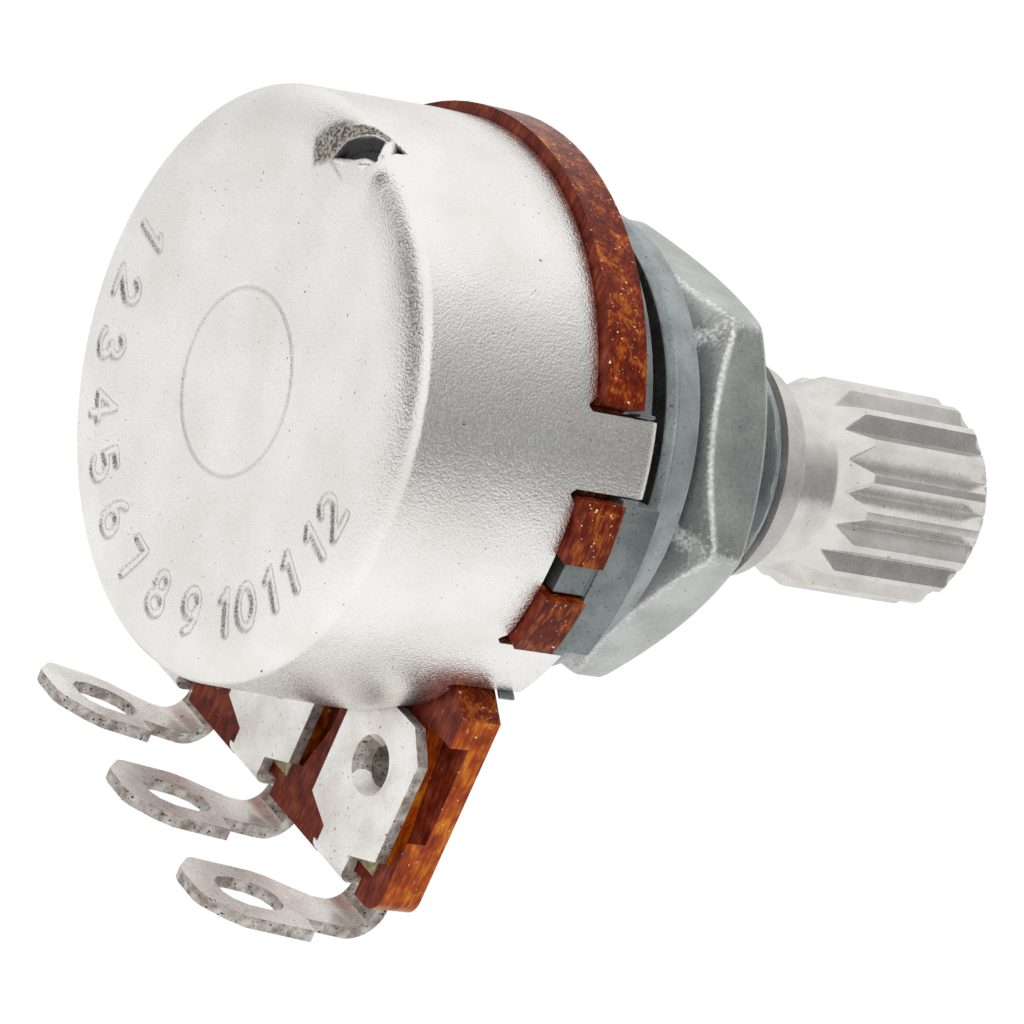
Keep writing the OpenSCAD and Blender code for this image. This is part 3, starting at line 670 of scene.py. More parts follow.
def inside(u: np.ndarray, v: np.ndarray, corners: np.ndarray) -> np.ndarray:
    """Signed distance to a closed polygon.

    Args:
        u: first coordinate of the points.
        v: second coordinate.
        corners: the polygon's corners, as (corners, 2).

    Returns:
        The distance to its edge, above 0 inside and below 0 outside.
    """
    ring = np.concatenate([corners, corners[:1]])
    gap = strokes_distance(u, v, [ring])
    odd = np.zeros(u.shape, dtype=bool)
    for (u0, v0), (u1, v1) in zip(ring[:-1], ring[1:]):
        if v0 == v1:
            continue
        crosses = (v0 > v) != (v1 > v)
        odd ^= crosses & (u < (u1 - u0) * (v - v0) / (v1 - v0) + u0)
    return np.where(odd, gap, -gap)


def arc(centre: tuple[float, float], radii: tuple[float, float], start: float, end: float,
        points: int = 9) -> np.ndarray:
    """Points along an ellipse's arc, from one angle in degrees to another."""
    angle = np.radians(np.linspace(start, end, points))
    return np.stack([centre[0] + radii[0] * np.cos(angle), centre[1] + radii[1] * np.sin(angle)], axis=-1)


def digit_strokes(digit: str) -> list[np.ndarray]:
    """Strokes of a plain numeral in a cell 0.6 wide and 1 high.

    Args:
        digit: one character from 0 to 9.

    Returns:
        Its strokes.
    """
    table = {
        "0": [arc((0.3, 0.5), (0.3, 0.5), 0, 360, 17)],
        "1": [np.array([(0.1, 0.8), (0.32, 1.0), (0.32, 0.0)])],
        "2": [np.concatenate([arc((0.3, 0.7), (0.29, 0.3), 165, -25), [(0.0, 0.0), (0.6, 0.0)]])],
        "3": [arc((0.28, 0.75), (0.26, 0.25), 150, -90), arc((0.28, 0.25), (0.3, 0.25), 90, -150)],
        "4": [np.array([(0.45, 0.0), (0.45, 1.0), (0.0, 0.3), (0.62, 0.3)])],
        "5": [np.concatenate([[(0.55, 1.0), (0.1, 1.0), (0.06, 0.56)], arc((0.28, 0.31), (0.31, 0.31), 125, -140)])],
        "6": [arc((0.3, 0.3), (0.29, 0.3), 0, 360, 15), arc((0.46, 0.3), (0.45, 0.7), 180, 98, 6)],
        "7": [np.array([(0.0, 1.0), (0.58, 1.0), (0.2, 0.0)])],
        "8": [arc((0.3, 0.75), (0.24, 0.25), 0, 360, 13), arc((0.3, 0.26), (0.29, 0.26), 0, 360, 15)],
        "9": [arc((0.3, 0.7), (0.29, 0.3), 0, 360, 15), arc((0.14, 0.7), (0.45, 0.7), 0, -82, 6)],
    }
    return table[digit]


@dataclass(frozen=True)
class Mound:
    """A smooth mound on a sheet laid flat. Fields, in millimetres: its middle, half widths and height."""

    u: float
    v: float
    wide: float
    long: float
    height: float

    def at(self, u: np.ndarray, v: np.ndarray) -> np.ndarray:
        """Height at each point: a bell curve in u times one in v."""
        return self.height * np.exp(-((u - self.u) / self.wide) ** 2 - ((v - self.v) / self.long) ** 2)


@dataclass(frozen=True)
class Stop:
    """The stop that is pushed in through the can's shoulder, drawn on the sheet laid flat about it.

    On that sheet u runs around the can and v along its section from the middle of the rear edge's round. The
    opening is sunk deepest, the flap slopes down to it from its apex, the torn lip is a little low, and the sheet
    beside them swells.

    Fields, in millimetres and degrees: angle about the shaft and the radius at which u is measured, reach in u and
    v, outlines of the opening, the torn lip, the flap and a nick, the flap's apex, how deep each is sunk, the hollow
    about them and the swell beside them, the push along the shaft and towards it, and for the dent's inner side its
    place forward of and in from the rear edge, its depth and its spread.
    """

    angle: float = 93.0
    radius: float = 7.4
    reach: tuple[float, float] = (2.2, 2.4)
    opening: tuple[tuple[float, float], ...] = (
        (-0.28, -1.18), (-0.13, -0.50), (0.22, -0.07), (0.52, 0.24), (0.87, 0.42), (1.17, 0.11), (1.32, -0.16),
        (0.65, -0.71))
    lip: tuple[tuple[float, float], ...] = (
        (-0.92, -1.60), (-1.20, -1.00), (-0.82, -0.46), (-0.05, 0.21), (0.79, 0.68), (1.17, 0.11), (0.45, -0.1),
        (-0.28, -1.18))
    flap: tuple[tuple[float, float], ...] = ((-0.28, -1.18), (0.65, -0.71), (1.39, 0.08), (1.07, -1.38))
    nick: tuple[tuple[float, float], ...] = ((1.45, 0.24), (1.36, 0.80), (0.85, 0.65))
    apex: tuple[float, float] = (1.07, -1.38)
    opening_depth: float = 0.42
    lip_depth: float = 0.1
    flap_depth: float = 0.34
    nick_depth: float = 0.24
    hollow: Mound = Mound(0.1, -0.6, 1.3, 1.1, 0.15)
    swell: Mound = Mound(1.72, -0.5, 0.3, 0.7, 0.09)
    push: tuple[float, float] = (0.66, 0.75)
    inner_place: tuple[float, float] = (0.6, 0.9)
    inner_depth: float = 1.3
    inner_spread: float = 1.5

    def inward(self) -> np.ndarray:
        """Direction of the push: forward along the shaft and in towards it."""
        turn = math.radians(self.angle)
        return np.array([self.push[0], -self.push[1] * math.cos(turn), -self.push[1] * math.sin(turn)])

    def effect(self, u: np.ndarray, v: np.ndarray) -> np.ndarray:
        """What the stop does to the sheet.

        Args:
            u: places around the can.
            v: places along its section, in the same shape.

        Returns:
            Inward shift, the torn mark, painted shade that blackens the opening and the nick, and painted shade along
            the torn lip and the flap's crease, one after another on a first axis.
        """
        opening, lip, flap, nick = (inside(u, v, np.array(part))
                                    for part in (self.opening, self.lip, self.flap, self.nick))
        apex = np.hypot(u - self.apex[0], v - self.apex[1])
        slope = smooth_step(-0.08, 0.16, flap) * smooth_step(0.2, 1.5, apex)
        sink = np.max([self.opening_depth * smooth_step(-0.04, 0.22, opening),
                       self.lip_depth * smooth_step(-0.14, 0.16, lip), self.flap_depth * slope,
                       self.nick_depth * smooth_step(-0.04, 0.14, nick), self.hollow.at(u, v)], axis=0)
        torn = smooth_step(-0.02, 0.08, lip) * smooth_step(0.05, -0.05, opening)
        # painted shade: the opening and the nick are painted black
        pit = np.maximum(smooth_step(0.0, 0.06, opening), smooth_step(0.0, 0.06, nick))
        # painted shade along the torn lip's border and in the flap's crease
        border = np.exp(-(lip / 0.12) ** 2) * smooth_step(-0.1, -0.6, u) * smooth_step(-2.0, -1.3, v)
        crease = np.exp(-((flap + 0.02) / 0.05) ** 2) * smooth_step(0.9, 0.3, u)
        return np.stack([sink - self.swell.at(u, v), torn, pit, np.maximum(0.9 * border, 0.6 * crease)])


@dataclass
class CanShell:
    """The drawn can: one closed sheet with its rounded rear edge, relieved rim, four folded tabs and the stop
    that is pushed in through its shoulder.

    Fields, in millimetres and degrees: sheet thickness, the rear edge's fillet along the axis and its softer reach
    in from the wall, depth of the dished face and radius of its flat middle, wall taper and its start behind the
    rim, the tabs' angles, half width, lip, inner fold and the bulge of their cut edges, how far the rim stands back
    below the tabs and over the terminals and how wide it does so, round of the rim's edge, the numerals' outer
    radius, height, half stroke, depth, count, first angle and steps, radius and depth of the punched ring, depth,
    place and half width of the relief notch beside a tab, and the stop.
    """

    sheet: float = 0.4
    fillet: float = 0.55
    fillet_reach: float = 1.45
    dish: float = 0.12
    dish_flat_r: float = 3.2
    taper: float = 0.15
    taper_start: float = 1.2
    tab_angles: tuple[float, ...] = (-152.6, -27.4, 21.0, 159.0)
    tab_half: float = 7.17
    tab_lip: float = 0.85
    tab_fold: float = 0.06
    tab_bulge: float = 0.035
    relief: float = 0.05
    terminal_relief: float = 0.55
    terminal_span: float = 5.27
    bullnose: float = 0.07
    bullnose_points: int = 7
    numeral_r: float = 6.62
    numeral_height: float = 1.12
    numeral_stroke: float = 0.085
    numeral_depth: float = 0.06
    numeral_count: int = 12
    numeral_start: float = 12.0
    numeral_step: float = 15.4
    numeral_wide_step: float = 19.6
    ring_r: float = 2.47
    ring_depth: float = 0.022
    notch_depth: float = 0.22
    notch_place: float = 1.1
    notch_half: float = 1.0
    stop: Stop = Stop()
    body: Body = Body.HOUSING

    def __post_init__(self) -> None:
        """Takes the can's stations and radii from its CAD node."""
        low, high = node_box("can")
        self.rear_x = low[0]
        self.fold_x = high[0]
        self.rim_x = node_box("wafer")[0][0]
        self.rim_r = high[1]
        self.rear_r = self.rim_r - self.taper
        self.arc_r = self.rear_r - self.fillet_reach
        self.bend_r = self.rear_r - self.fillet
        self.arc_x = self.rear_x + self.fillet

    def columns(self) -> np.ndarray:
        """Angles of the columns in radians: every 0.6 degrees, closer at the stop, and one on each tab edge."""
        even = np.arange(-180, 180, 0.6)
        near_stop = np.arange(self.stop.angle - 13, self.stop.angle + 13, 0.32)
        edges = np.array([a + side * self.tab_half for a in self.tab_angles for side in (-1, 1)])
        even = even[np.min(np.abs(even[:, None] - edges), axis=1) > 0.25]
        even = even[np.abs(even - self.stop.angle) > 13.2]
        return np.radians(np.sort(np.concatenate([even, near_stop, edges])))

    def rim_line(self, phi: np.ndarray) -> np.ndarray:
        """Station of the rim's edge at each angle: level between the upper tabs, set back elsewhere, further over
        the terminals, with a small relief notch beside each tab."""
        turn = np.degrees(phi)
        upper = (turn > self.tab_angles[2]) & (turn < self.tab_angles[3])
        line = np.where(upper, self.rim_x, self.rim_x - self.relief)
        across = np.abs(self.rim_r * np.cos(phi))
        below = np.sin(phi) < 0
        over = smooth_step(self.terminal_span + 0.35, self.terminal_span - 0.2, across)
        line = np.where(below, line - over * (self.terminal_relief - self.relief), line)
        for angle in self.tab_angles:
            away = np.abs((turn - angle + 180) % 360 - 180) - self.tab_half
            notch = self.notch_depth * np.exp(-((away - self.notch_place) / self.notch_half) ** 2)
            line = line - np.where(away > -0.01, notch, 0.1)
        return line

    def outer_rows(self) -> tuple[np.ndarray, np.ndarray]:
        """The outer surface without the rim.

        Returns:
            Stations and radii from the rear centre to just behind the rim, with close rows where the ring, the
            numerals and the stop are.
        """
        face = np.concatenate([[0.3, 0.7, 1.2, 1.7, 2.1], np.arange(2.3, 2.66, 0.04), [2.8, 3.2, 3.7, 4.2, 4.7, 5.0],
                               np.arange(5.1, self.arc_r, 0.06)])
        turn = np.linspace(0, math.pi / 2, 41)
        near = self.arc_x + np.concatenate([np.arange(0.05, 1.25, 0.05),
                                            np.linspace(1.3, self.rim_x - self.taper_start - self.arc_x, 8)])
        slope = self.taper / (self.rim_x - self.taper_start - self.arc_x)
        x = np.concatenate([self.rear_x + self.dished(face), self.arc_x - self.fillet * np.cos(turn), near])
        r = np.concatenate([face, self.arc_r + self.fillet_reach * np.sin(turn),
                            self.rear_r + (near - self.arc_x) * slope])
        return x, r

    def inner_rows(self) -> tuple[np.ndarray, np.ndarray]:
        """The inner surface, from just behind the rim to the floor's centre."""
        turn = np.linspace(math.pi / 2, 0, 7)
        small = self.fillet - self.sheet
        floor = np.arange(6.8, 0.5, -0.4)
        x = np.concatenate([[self.rim_x - self.taper_start], self.arc_x - small * np.cos(turn),
                            self.rear_x + self.sheet + self.dished(floor)])
        r = np.concatenate([[self.rim_r - self.sheet], self.bend_r + small * np.sin(turn), floor])
        return x, r

    def dished(self, r: np.ndarray) -> np.ndarray:
        """How far forward the rear face lies at each radius: level inside, then rising to the rear edge."""
        return self.dish * np.clip((self.arc_r - r) / (self.arc_r - self.dish_flat_r), 0, 1)

    def numerals(self, y: np.ndarray, z: np.ndarray) -> tuple[np.ndarray, np.ndarray]:
        """Depth of the stamped numerals and the ring on the rear face, and the painted shade in them.

        Numerals 1 to 12 stand in an arc with their heads to the centre and read clockwise as seen from behind.
        Across a stroke the depth falls smoothly from full to nothing, and the ring is one shallow groove.

        Args:
            y: first coordinate on the face.
            z: second coordinate.

        Returns:
            The depth in millimetres at each point, and the painted shade from 0 to 1, which lies in the ring's groove
            and on the slopes of the strokes.
        """
        r = np.hypot(y, z)
        phi = np.degrees(np.arctan2(z, y))
        groove = smooth_step(0.09, 0.02, np.abs(r - self.ring_r))
        depth = self.ring_depth * groove
        # painted shade in the ring's groove
        dirt = 0.3 * groove
        band = np.flatnonzero((r > self.numeral_r - self.numeral_height - 0.2) & (r < self.numeral_r + 0.2))
        middle = self.numeral_r - self.numeral_height / 2
        steps = np.where(np.arange(1, self.numeral_count) < 9, self.numeral_step, self.numeral_wide_step)
        angles = self.numeral_start - np.concatenate([[0], np.cumsum(steps)])
        for label, angle in enumerate(angles, start=1):
            text = str(label)
            turn = (phi.flat[band] - angle + 180) % 360 - 180
            near = band[np.abs(turn) < 14]
            turn = turn[np.abs(turn) < 14]
            along = -np.radians(turn) * middle / self.numeral_height + 0.8 * len(text) / 2 - 0.1
            high = (self.numeral_r - r.flat[near]) / self.numeral_height
            strokes = [stroke + np.array([0.8 * place, 0]) for place, digit in enumerate(text)
                       for stroke in digit_strokes(digit)]
            gap = strokes_distance(along, high, strokes) * self.numeral_height
            share = smooth_step(self.numeral_stroke + 0.08, self.numeral_stroke - 0.03, gap)
            depth.flat[near] = np.maximum(depth.flat[near], self.numeral_depth * share)
            # painted shade on the slopes of the strokes
            dirt.flat[near] = np.maximum(dirt.flat[near], 2.6 * share * (1 - share))
        return depth, dirt

    def pushed(self, x: np.ndarray, r: np.ndarray, phi: np.ndarray) -> np.ndarray:
        """What the stop does to the outer surface.

        Args:
            x: stations.
            r: radii.
            phi: angles.

        Returns:
            Inward shift, the torn mark, painted shade that blackens the opening and the nick, and painted shade along
            the torn lip and the flap's crease, one after another on a first axis.
        """
        turn = np.arctan2(self.arc_x - x, r - self.bend_r)
        half = math.pi / 4 * self.fillet
        behind = np.where(r > self.bend_r, (math.pi / 4 - turn) * self.fillet, -half - (self.bend_r - r))
        v = np.where(x < self.arc_x, behind, half + (x - self.arc_x))
        u = (phi - math.radians(self.stop.angle)) * self.stop.radius
        effect = np.zeros((4,) + u.shape)
        near = (np.abs(u) < self.stop.reach[0]) & (np.abs(v) < self.stop.reach[1])
        effect[:, near] = self.stop.effect(u[near], v[near])
        return effect

    def tab_path(self, start: np.ndarray, outside: bool) -> np.ndarray:
        """One face of a tab's section: straight on from the wall, round the fold, and in towards the axis.

        Args:
            start: station at which each column of the tab begins.
            outside: whether this is the outer face.

        Returns:
            Points as (rows, columns, 2), each a station and a radius.
        """
        fold = self.fold_x - self.sheet
        share = np.linspace(0, 1, 8)[1:, None]
        radius = self.sheet if outside else self.tab_fold
        centre_x = fold if outside else fold - self.tab_fold
        centre_r = self.rim_r - self.sheet if outside else self.rim_r - self.sheet - self.tab_fold
        straight_x = start * (1 - share) + centre_x * share
        straight_r = np.full_like(straight_x, centre_r + radius)
        turn = np.linspace(0, math.pi / 2, 9)[1:, None] + 0 * start
        bend_x = centre_x + radius * np.sin(turn)
        bend_r = centre_r + radius * np.cos(turn)
        tip = self.rim_r - self.tab_lip - 0.02
        in_r = centre_r * (1 - share[:5] / share[4]) + tip * share[:5] / share[4] + 0 * start
        in_x = np.full_like(in_r, centre_x + radius)
        x = np.concatenate([straight_x, bend_x, in_x])
        r = np.concatenate([straight_r, bend_r, in_r])
        return np.stack([x, r], axis=-1)

    def tab(self, patches: Patches, phi: np.ndarray, outer: np.ndarray, nose: np.ndarray, inner: np.ndarray,
            start: np.ndarray) -> None:
        """Adds one tab, which grows from the rim's rows.

        Args:
            patches: the mesh.
            phi: angles of the tab's columns.
            outer: vertex numbers of the outer row that it grows from.
            nose: vertex numbers across the rim's edge at its first and last columns, as (points, 2).
            inner: vertex numbers of the inner row.
            start: station of the first row at each column.
        """
        out_path = self.tab_path(start, True)
        in_path = self.tab_path(start, False)
        across = np.linspace(0, 1, self.bullnose_points)[1:-1]
        swell = self.tab_bulge * (1 - np.abs(2 * across - 1) ** 3)
        out_rows = patches.put(on_axis(out_path[..., 0], out_path[..., 1], phi))
        in_rows = patches.put(on_axis(in_path[..., 0], in_path[..., 1], phi))
        share = across[:, None, None]
        tip = out_path[-1] * (1 - share) + in_path[-1] * share
        tip_rows = patches.put(on_axis(tip[..., 0], tip[..., 1] - swell[:, None], phi))
        patches.span(np.concatenate([outer[None], out_rows]))
        patches.span(np.concatenate([inner[None], in_rows]))
        patches.span(np.concatenate([out_rows[-1:], tip_rows, in_rows[-1:]]))
        for column, side in ((0, -1), (-1, 1)):
            mid = out_path[:-1, None, column] * (1 - across[None, :, None]) \
                + in_path[:-1, None, column] * across[None, :, None]
            turn = phi[column] + side * swell / self.rim_r
            rows = patches.put(on_axis(mid[..., 0], mid[..., 1], turn[None]))
            rows = np.concatenate([rows, tip_rows[None, :, column]])
            ladder = np.concatenate([out_rows[:, column, None], rows, in_rows[:, column, None]], axis=1)
            patches.span(np.concatenate([nose[None, :, column], ladder]))

    def build(self) -> bpy.types.Object:
        """Builds and dresses the can."""
        phi = self.columns()
        patches = Patches()
        rim = self.rim_line(phi)
        x, r = self.outer_rows()
        base_x = np.repeat(x[:, None], len(phi), axis=1)
        base_r = np.repeat(r[:, None], len(phi), axis=1)
        share = np.linspace(0, 1, 5)[1:, None]
        last_x = base_x[-1] * (1 - share) + (rim - self.bullnose) * share
        base_x = np.concatenate([base_x, last_x])
        base_r = np.concatenate([base_r, np.full_like(last_x, self.rim_r)])
        angle = np.repeat(phi[None], len(base_x), axis=0)
        points = on_axis(base_x, base_r, angle)
        # the numerals' depth and their painted shade
        stamp, dirt = self.numerals(points[..., 1], points[..., 2])
        points[..., 0] += np.where(base_r < self.bend_r, stamp, 0)
        # the stop's sink, its torn mark, the painted black shade of its opening and the painted shade of its lip and
        # crease
        shift, torn, pit, scuffs_and_crease_shade = self.pushed(base_x, base_r, angle)
        inward = self.stop.inward()
        points += shift[..., None] * inward
        outer = patches.put(points)
        middle = self.rear_x + self.dish
        rear = patches.put(np.array([[middle, 0.0, 0.0], [middle + self.sheet, 0.0, 0.0]]))
        across = np.linspace(0, 1, self.bullnose_points)[1:-1, None]
        bulge = self.bullnose * (1 - np.abs(2 * across - 1) ** 2.6) ** (1 / 2.6)
        nose = patches.put(on_axis(rim - self.bullnose + bulge, self.rim_r - self.sheet * across, phi))
        ix, ir = self.inner_rows()
        inner_x = np.repeat(ix[:, None], len(phi), axis=1)
        inner_r = np.repeat(ir[:, None], len(phi), axis=1)
        first_x = (rim - self.bullnose)[None]
        inner_x = np.concatenate([first_x, inner_x])
        inner_r = np.concatenate([np.full_like(first_x, self.rim_r - self.sheet), inner_r])
        inner_points = on_axis(inner_x, inner_r, phi)
        forward, inset = self.stop.inner_place
        dent = on_axis(np.array(self.rear_x + forward), np.array(self.rear_r - inset),
                       np.array(math.radians(self.stop.angle)))
        away = np.linalg.norm(inner_points - dent, axis=-1)
        inner_points += (self.stop.inner_depth * np.exp(-(away / self.stop.inner_spread) ** 4))[..., None] * inward
        inner = patches.put(inner_points)
        patches.fan(outer[0], rear[0])
        patches.span(outer, around=True)
        patches.span(inner, around=True)
        patches.fan(inner[-1], rear[1])
        edge = np.concatenate([outer[-1:], nose, inner[:1]])
        free = np.ones(len(phi), dtype=bool)
        for centre in self.tab_angles:
            low, high = (int(np.argmin(np.abs(phi - math.radians(centre + side * self.tab_half))))
                         for side in (-1, 1))
            free[low:high] = False
            columns = slice(low, high + 1)
            self.tab(patches, phi[columns], outer[-1, columns], edge[:, [low, high]], inner[0, columns],
                     rim[columns] - self.bullnose)
        after = np.roll(np.arange(len(phi)), -1)
        for column in np.flatnonzero(free):
            patches.span(edge[:, [column, after[column]]])
        # the painted shade and the torn mark go on the outer sheet as attributes
        marks = {key: np.zeros(patches.count) for key in ("torn", "pit", "dirt")}
        marks["dirt"][outer] = np.maximum(np.where(base_r < self.bend_r, dirt, 0), scuffs_and_crease_shade)
        marks["torn"][outer] = torn
        marks["pit"][outer] = pit
        piece = patches.make("can_shell", marks)
        dress(piece, [TIN_PLATE], self.body, "can")
        return piece


def dress(piece: bpy.types.Object, finishes: list[Finish], body: Body, *nodes: str) -> None:
    """Gives a piece its finishes, the body that it rides on, and the CAD nodes that it stands for.

    Args:
        piece: the object.
        finishes: one for each material slot.
        body: the body.
        nodes: the CAD nodes that the piece replaces.
    """
    for finish in finishes:
        piece.data.materials.append(finish.material())
    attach(piece, body.value)
    if nodes:
        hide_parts(*nodes)
    log.info("%s: %d faces on %s", piece.name, len(piece.data.polygons), body.value)


def merged_copy(node: str, name: str, flat_angle: float = 1.0) -> bpy.types.Object:
    """A copy of a CAD node with its loose triangles joined and its flat faces made whole.

    Args:
        node: the CAD node.
        name: name of the copy.
        flat_angle: largest turn in degrees between faces that are joined to one.

    Returns:
        The copy, with no material.
    """
    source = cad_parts[node]
    mesh = bpy.data.meshes.new(name)
    work = bmesh.new()
    work.from_mesh(source.data)
    work.transform(source.matrix_world)
    bmesh.ops.remove_doubles(work, verts=work.verts, dist=0.002 * MM)
    bmesh.ops.dissolve_limit(work, angle_limit=math.radians(flat_angle), verts=work.verts, edges=work.edges,
                             delimit={"NORMAL"})
    work.to_mesh(mesh)
    work.free()
    piece = bpy.data.objects.new(name, mesh)
    bpy.context.scene.collection.objects.link(piece)
    return piece


def soften_edges(piece: bpy.types.Object, width: float, segments: int = 2, angle: float = 32.0) -> None:
    """Rounds a piece's sharp edges with a Bevel modifier.

    Args:
        piece: the object.
        width: width of the round in millimetres.
        segments: faces across it.
        angle: smallest turn in degrees that counts as an edge.
    """
    bevel = piece.modifiers.new("edge_round", "BEVEL")
    bevel.width = width * MM
    bevel.segments = segments
    bevel.limit_method = "ANGLE"
    bevel.angle_limit = math.radians(angle)
    bevel.use_clamp_overlap = True
    bevel.harden_normals = True
    piece.data.shade_smooth()
    piece.data.set_sharp_from_angle(angle=math.radians(angle))


def face_frames(piece: bpy.types.Object) -> tuple[np.ndarray, np.ndarray]:
    """Normals and centres of a piece's faces, as (faces, 3), the centres in millimetres."""
    faces = len(piece.data.polygons)
    normals, centres = np.empty(faces * 3, np.float32), np.empty(faces * 3, np.float32)
    piece.data.polygons.foreach_get("normal", normals)
    piece.data.polygons.foreach_get("center", centres)
    return normals.reshape(-1, 3), centres.reshape(-1, 3) / MM


@dataclass
class Wafer:
    """The laminate plate with its toothed tongue, and the prints on its rear face.

    Fields, in millimetres: width of the worn edge, and the height below which an edge is the tongue's.
    """

    edge_round: float = 0.09
    tongue_z: float = -6.9
    body: Body = Body.HOUSING

    def build(self) -> None:
        """Dresses the plate, with its punched edges apart from its faces, and the prints."""
        piece = merged_copy("wafer", "wafer_board")
        soften_edges(piece, self.edge_round)
        dress(piece, [LAMINATE_FACE, LAMINATE_EDGE, LAMINATE_TONGUE], self.body, "wafer")
        normals, centres = face_frames(piece)
        across = np.abs(normals[:, 0]) < 0.5
        tongue = across & (centres[:, 2] < self.tongue_z)
        piece.data.polygons.foreach_set("material_index", across.astype(np.int32) + tongue)
        piece.modifiers["edge_round"].material = 1
        for node, finish in {"carbon_track": CARBON_INK, "track_pad_left": SILVER_INK,
                             "track_pad_right": SILVER_INK, "collector_ring": SILVER_INK}.items():
            coat_node(node, finish)


def coat_node(node: str, finish: Finish) -> None:
    """Puts one finish on a CAD node that keeps its own shape."""
    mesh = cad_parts[node].data
    mesh.materials.clear()
    mesh.materials.append(finish.material())
    log.info("%s keeps its solid", node)


@dataclass
class Terminal:
    """One folded terminal: plates, strap and solder lug of tinned strip with sheared edges.

    Fields: the CAD node, and the width of its edge round in millimetres.
    """

    node: str
    edge_round: float = 0.05
    body: Body = Body.HOUSING

    def build(self) -> None:
        """Dresses the strip, with its sheared edges apart from its tinned faces."""
        piece = merged_copy(self.node, self.node + "_strip")
        soften_edges(piece, self.edge_round)
        dress(piece, [TINNED_BRASS, SHEARED_BRASS], self.body, self.node)
        normals, centres = face_frames(piece)
        wafer_low = node_box("wafer")[0]
        lug = centres[:, 2] < wafer_low[2] - 0.5
        side = np.where(lug, np.abs(normals[:, 2]) < 0.6, np.abs(normals[:, 1]) > 0.6)
        plate_rim = (np.abs(normals[:, 0]) < 0.4) & ~lug
        piece.data.polygons.foreach_set("material_index", (side | plate_rim).astype(np.int32))


@dataclass
class Casting:
    """The zinc casting: base plate with wings and pegs, hub, round flange, threaded bushing and smooth end.

    Fields, in millimetres: width of the cast edges' round, thread pitch, crest and root radii and end, radii of
    the smooth end, hub and flange, the flange's thickness, rear chamfer and smaller front radius, the bore, the
    station at which the turned front meets the cast base, and the number of columns.
    """

    edge_round: float = 0.07
    pitch: float = 0.75
    thread_r: float = 3.5
    root_r: float = 3.06
    thread_end: float = 5.55
    pilot_r: float = 3.03
    hub_r: float = 5.3
    flange_r: float = 6.65
    flange_t: float = 1.3
    flange_chamfer: float = 0.24
    flange_front_r: float = 6.35
    bore_r: float = 2.53
    seam_x: float = -1.7
    columns: int = 240
    body: Body = Body.HOUSING

    def front(self) -> bpy.types.Object:
        """The turned front.

        The thread's crest line climbs one pitch a turn: the radius at station x and angle phi follows a
        flat-topped triangle wave of x over the pitch less the turn, and fades into the chamfer at the end.
        """
        end = node_box("bushing")[1][0]
        outline = np.array([(self.seam_x, self.bore_r), (self.seam_x, self.hub_r), (-self.flange_t, self.hub_r),
                            (-self.flange_t, self.flange_r - self.flange_chamfer),
                            (-self.flange_t + self.flange_chamfer, self.flange_r),
                            (-0.08, self.flange_front_r), (0.0, self.flange_front_r - 0.08),
                            (0.0, self.thread_r), (self.thread_end, self.thread_r),
                            (self.thread_end, self.pilot_r), (end - 0.16, self.pilot_r),
                            (end, self.pilot_r - 0.16), (end, self.bore_r + 0.12), (end - 0.12, self.bore_r)])
        rows = refine(soften(outline, 0.05, 3), 0.05)
        on_thread = (rows[:, 0] > 0.06) & (rows[:, 0] < self.thread_end) & (rows[:, 1] > self.thread_r - 0.03)
        coarse = np.ones(len(rows), dtype=bool)
        plain = ~on_thread & (np.arange(len(rows)) % 5 > 0) & (np.abs(np.gradient(rows[:, 1])) < 1e-6)
        coarse[plain] = False
        rows, on_thread = rows[coarse], on_thread[coarse]
        phi = np.linspace(0, 2 * math.pi, self.columns, endpoint=False)
        x = np.repeat(rows[:, :1], self.columns, axis=1)
        r = np.repeat(rows[:, 1:], self.columns, axis=1)
        phase = (x / self.pitch - phi / (2 * math.pi)) % 1.0
        wave = np.clip(1.7 * (1 - np.abs(2 * phase - 1)) - 0.25, 0, 1)
        cut = self.root_r + (self.thread_r - self.root_r) * wave
        taper = self.thread_r - np.clip(x - (self.thread_end - 0.32), 0, 1)
        r = np.where(on_thread[:, None], np.minimum(cut, taper), r)
        return turned("bushing_front", x, r, phi)

    def rear(self) -> bpy.types.Object:
        """The base plate with wings and pegs: the CAD casting, cut off at the hub and closed there."""
        piece = merged_copy("bushing", "bushing_base")
        work = bmesh.new()
        work.from_mesh(piece.data)
        cut = bmesh.ops.bisect_plane(work, geom=work.verts[:] + work.edges[:] + work.faces[:],
                                     plane_co=(self.seam_x * MM, 0, 0), plane_no=(1, 0, 0), clear_outer=True)
        edges = [item for item in cut["geom_cut"] if isinstance(item, bmesh.types.BMEdge)]
        bmesh.ops.triangle_fill(work, edges=edges, use_beauty=True)
        bmesh.ops.recalc_face_normals(work, faces=work.faces)
        work.to_mesh(piece.data)
        work.free()
        soften_edges(piece, self.edge_round)
        return piece

    def build(self) -> None:
        """Builds and dresses both parts of the casting."""
        front = self.front()
        dress(front, [TURNED_ZINC, BRIGHT_ZINC, GAP_SHADE_ZINC], self.body, "bushing")
        station = face_frames(front)[1][:, 0]
        # the hub behind the flange takes the painted gap shade, the smooth end the brighter zinc
        kind = np.where(station > self.thread_end - 0.02, 1, np.where(station < 0.02 - self.flange_t, 2, 0))
        front.data.polygons.foreach_set("material_index", kind.astype(np.int32))
        dress(self.rear(), [CAST_ZINC], self.body)


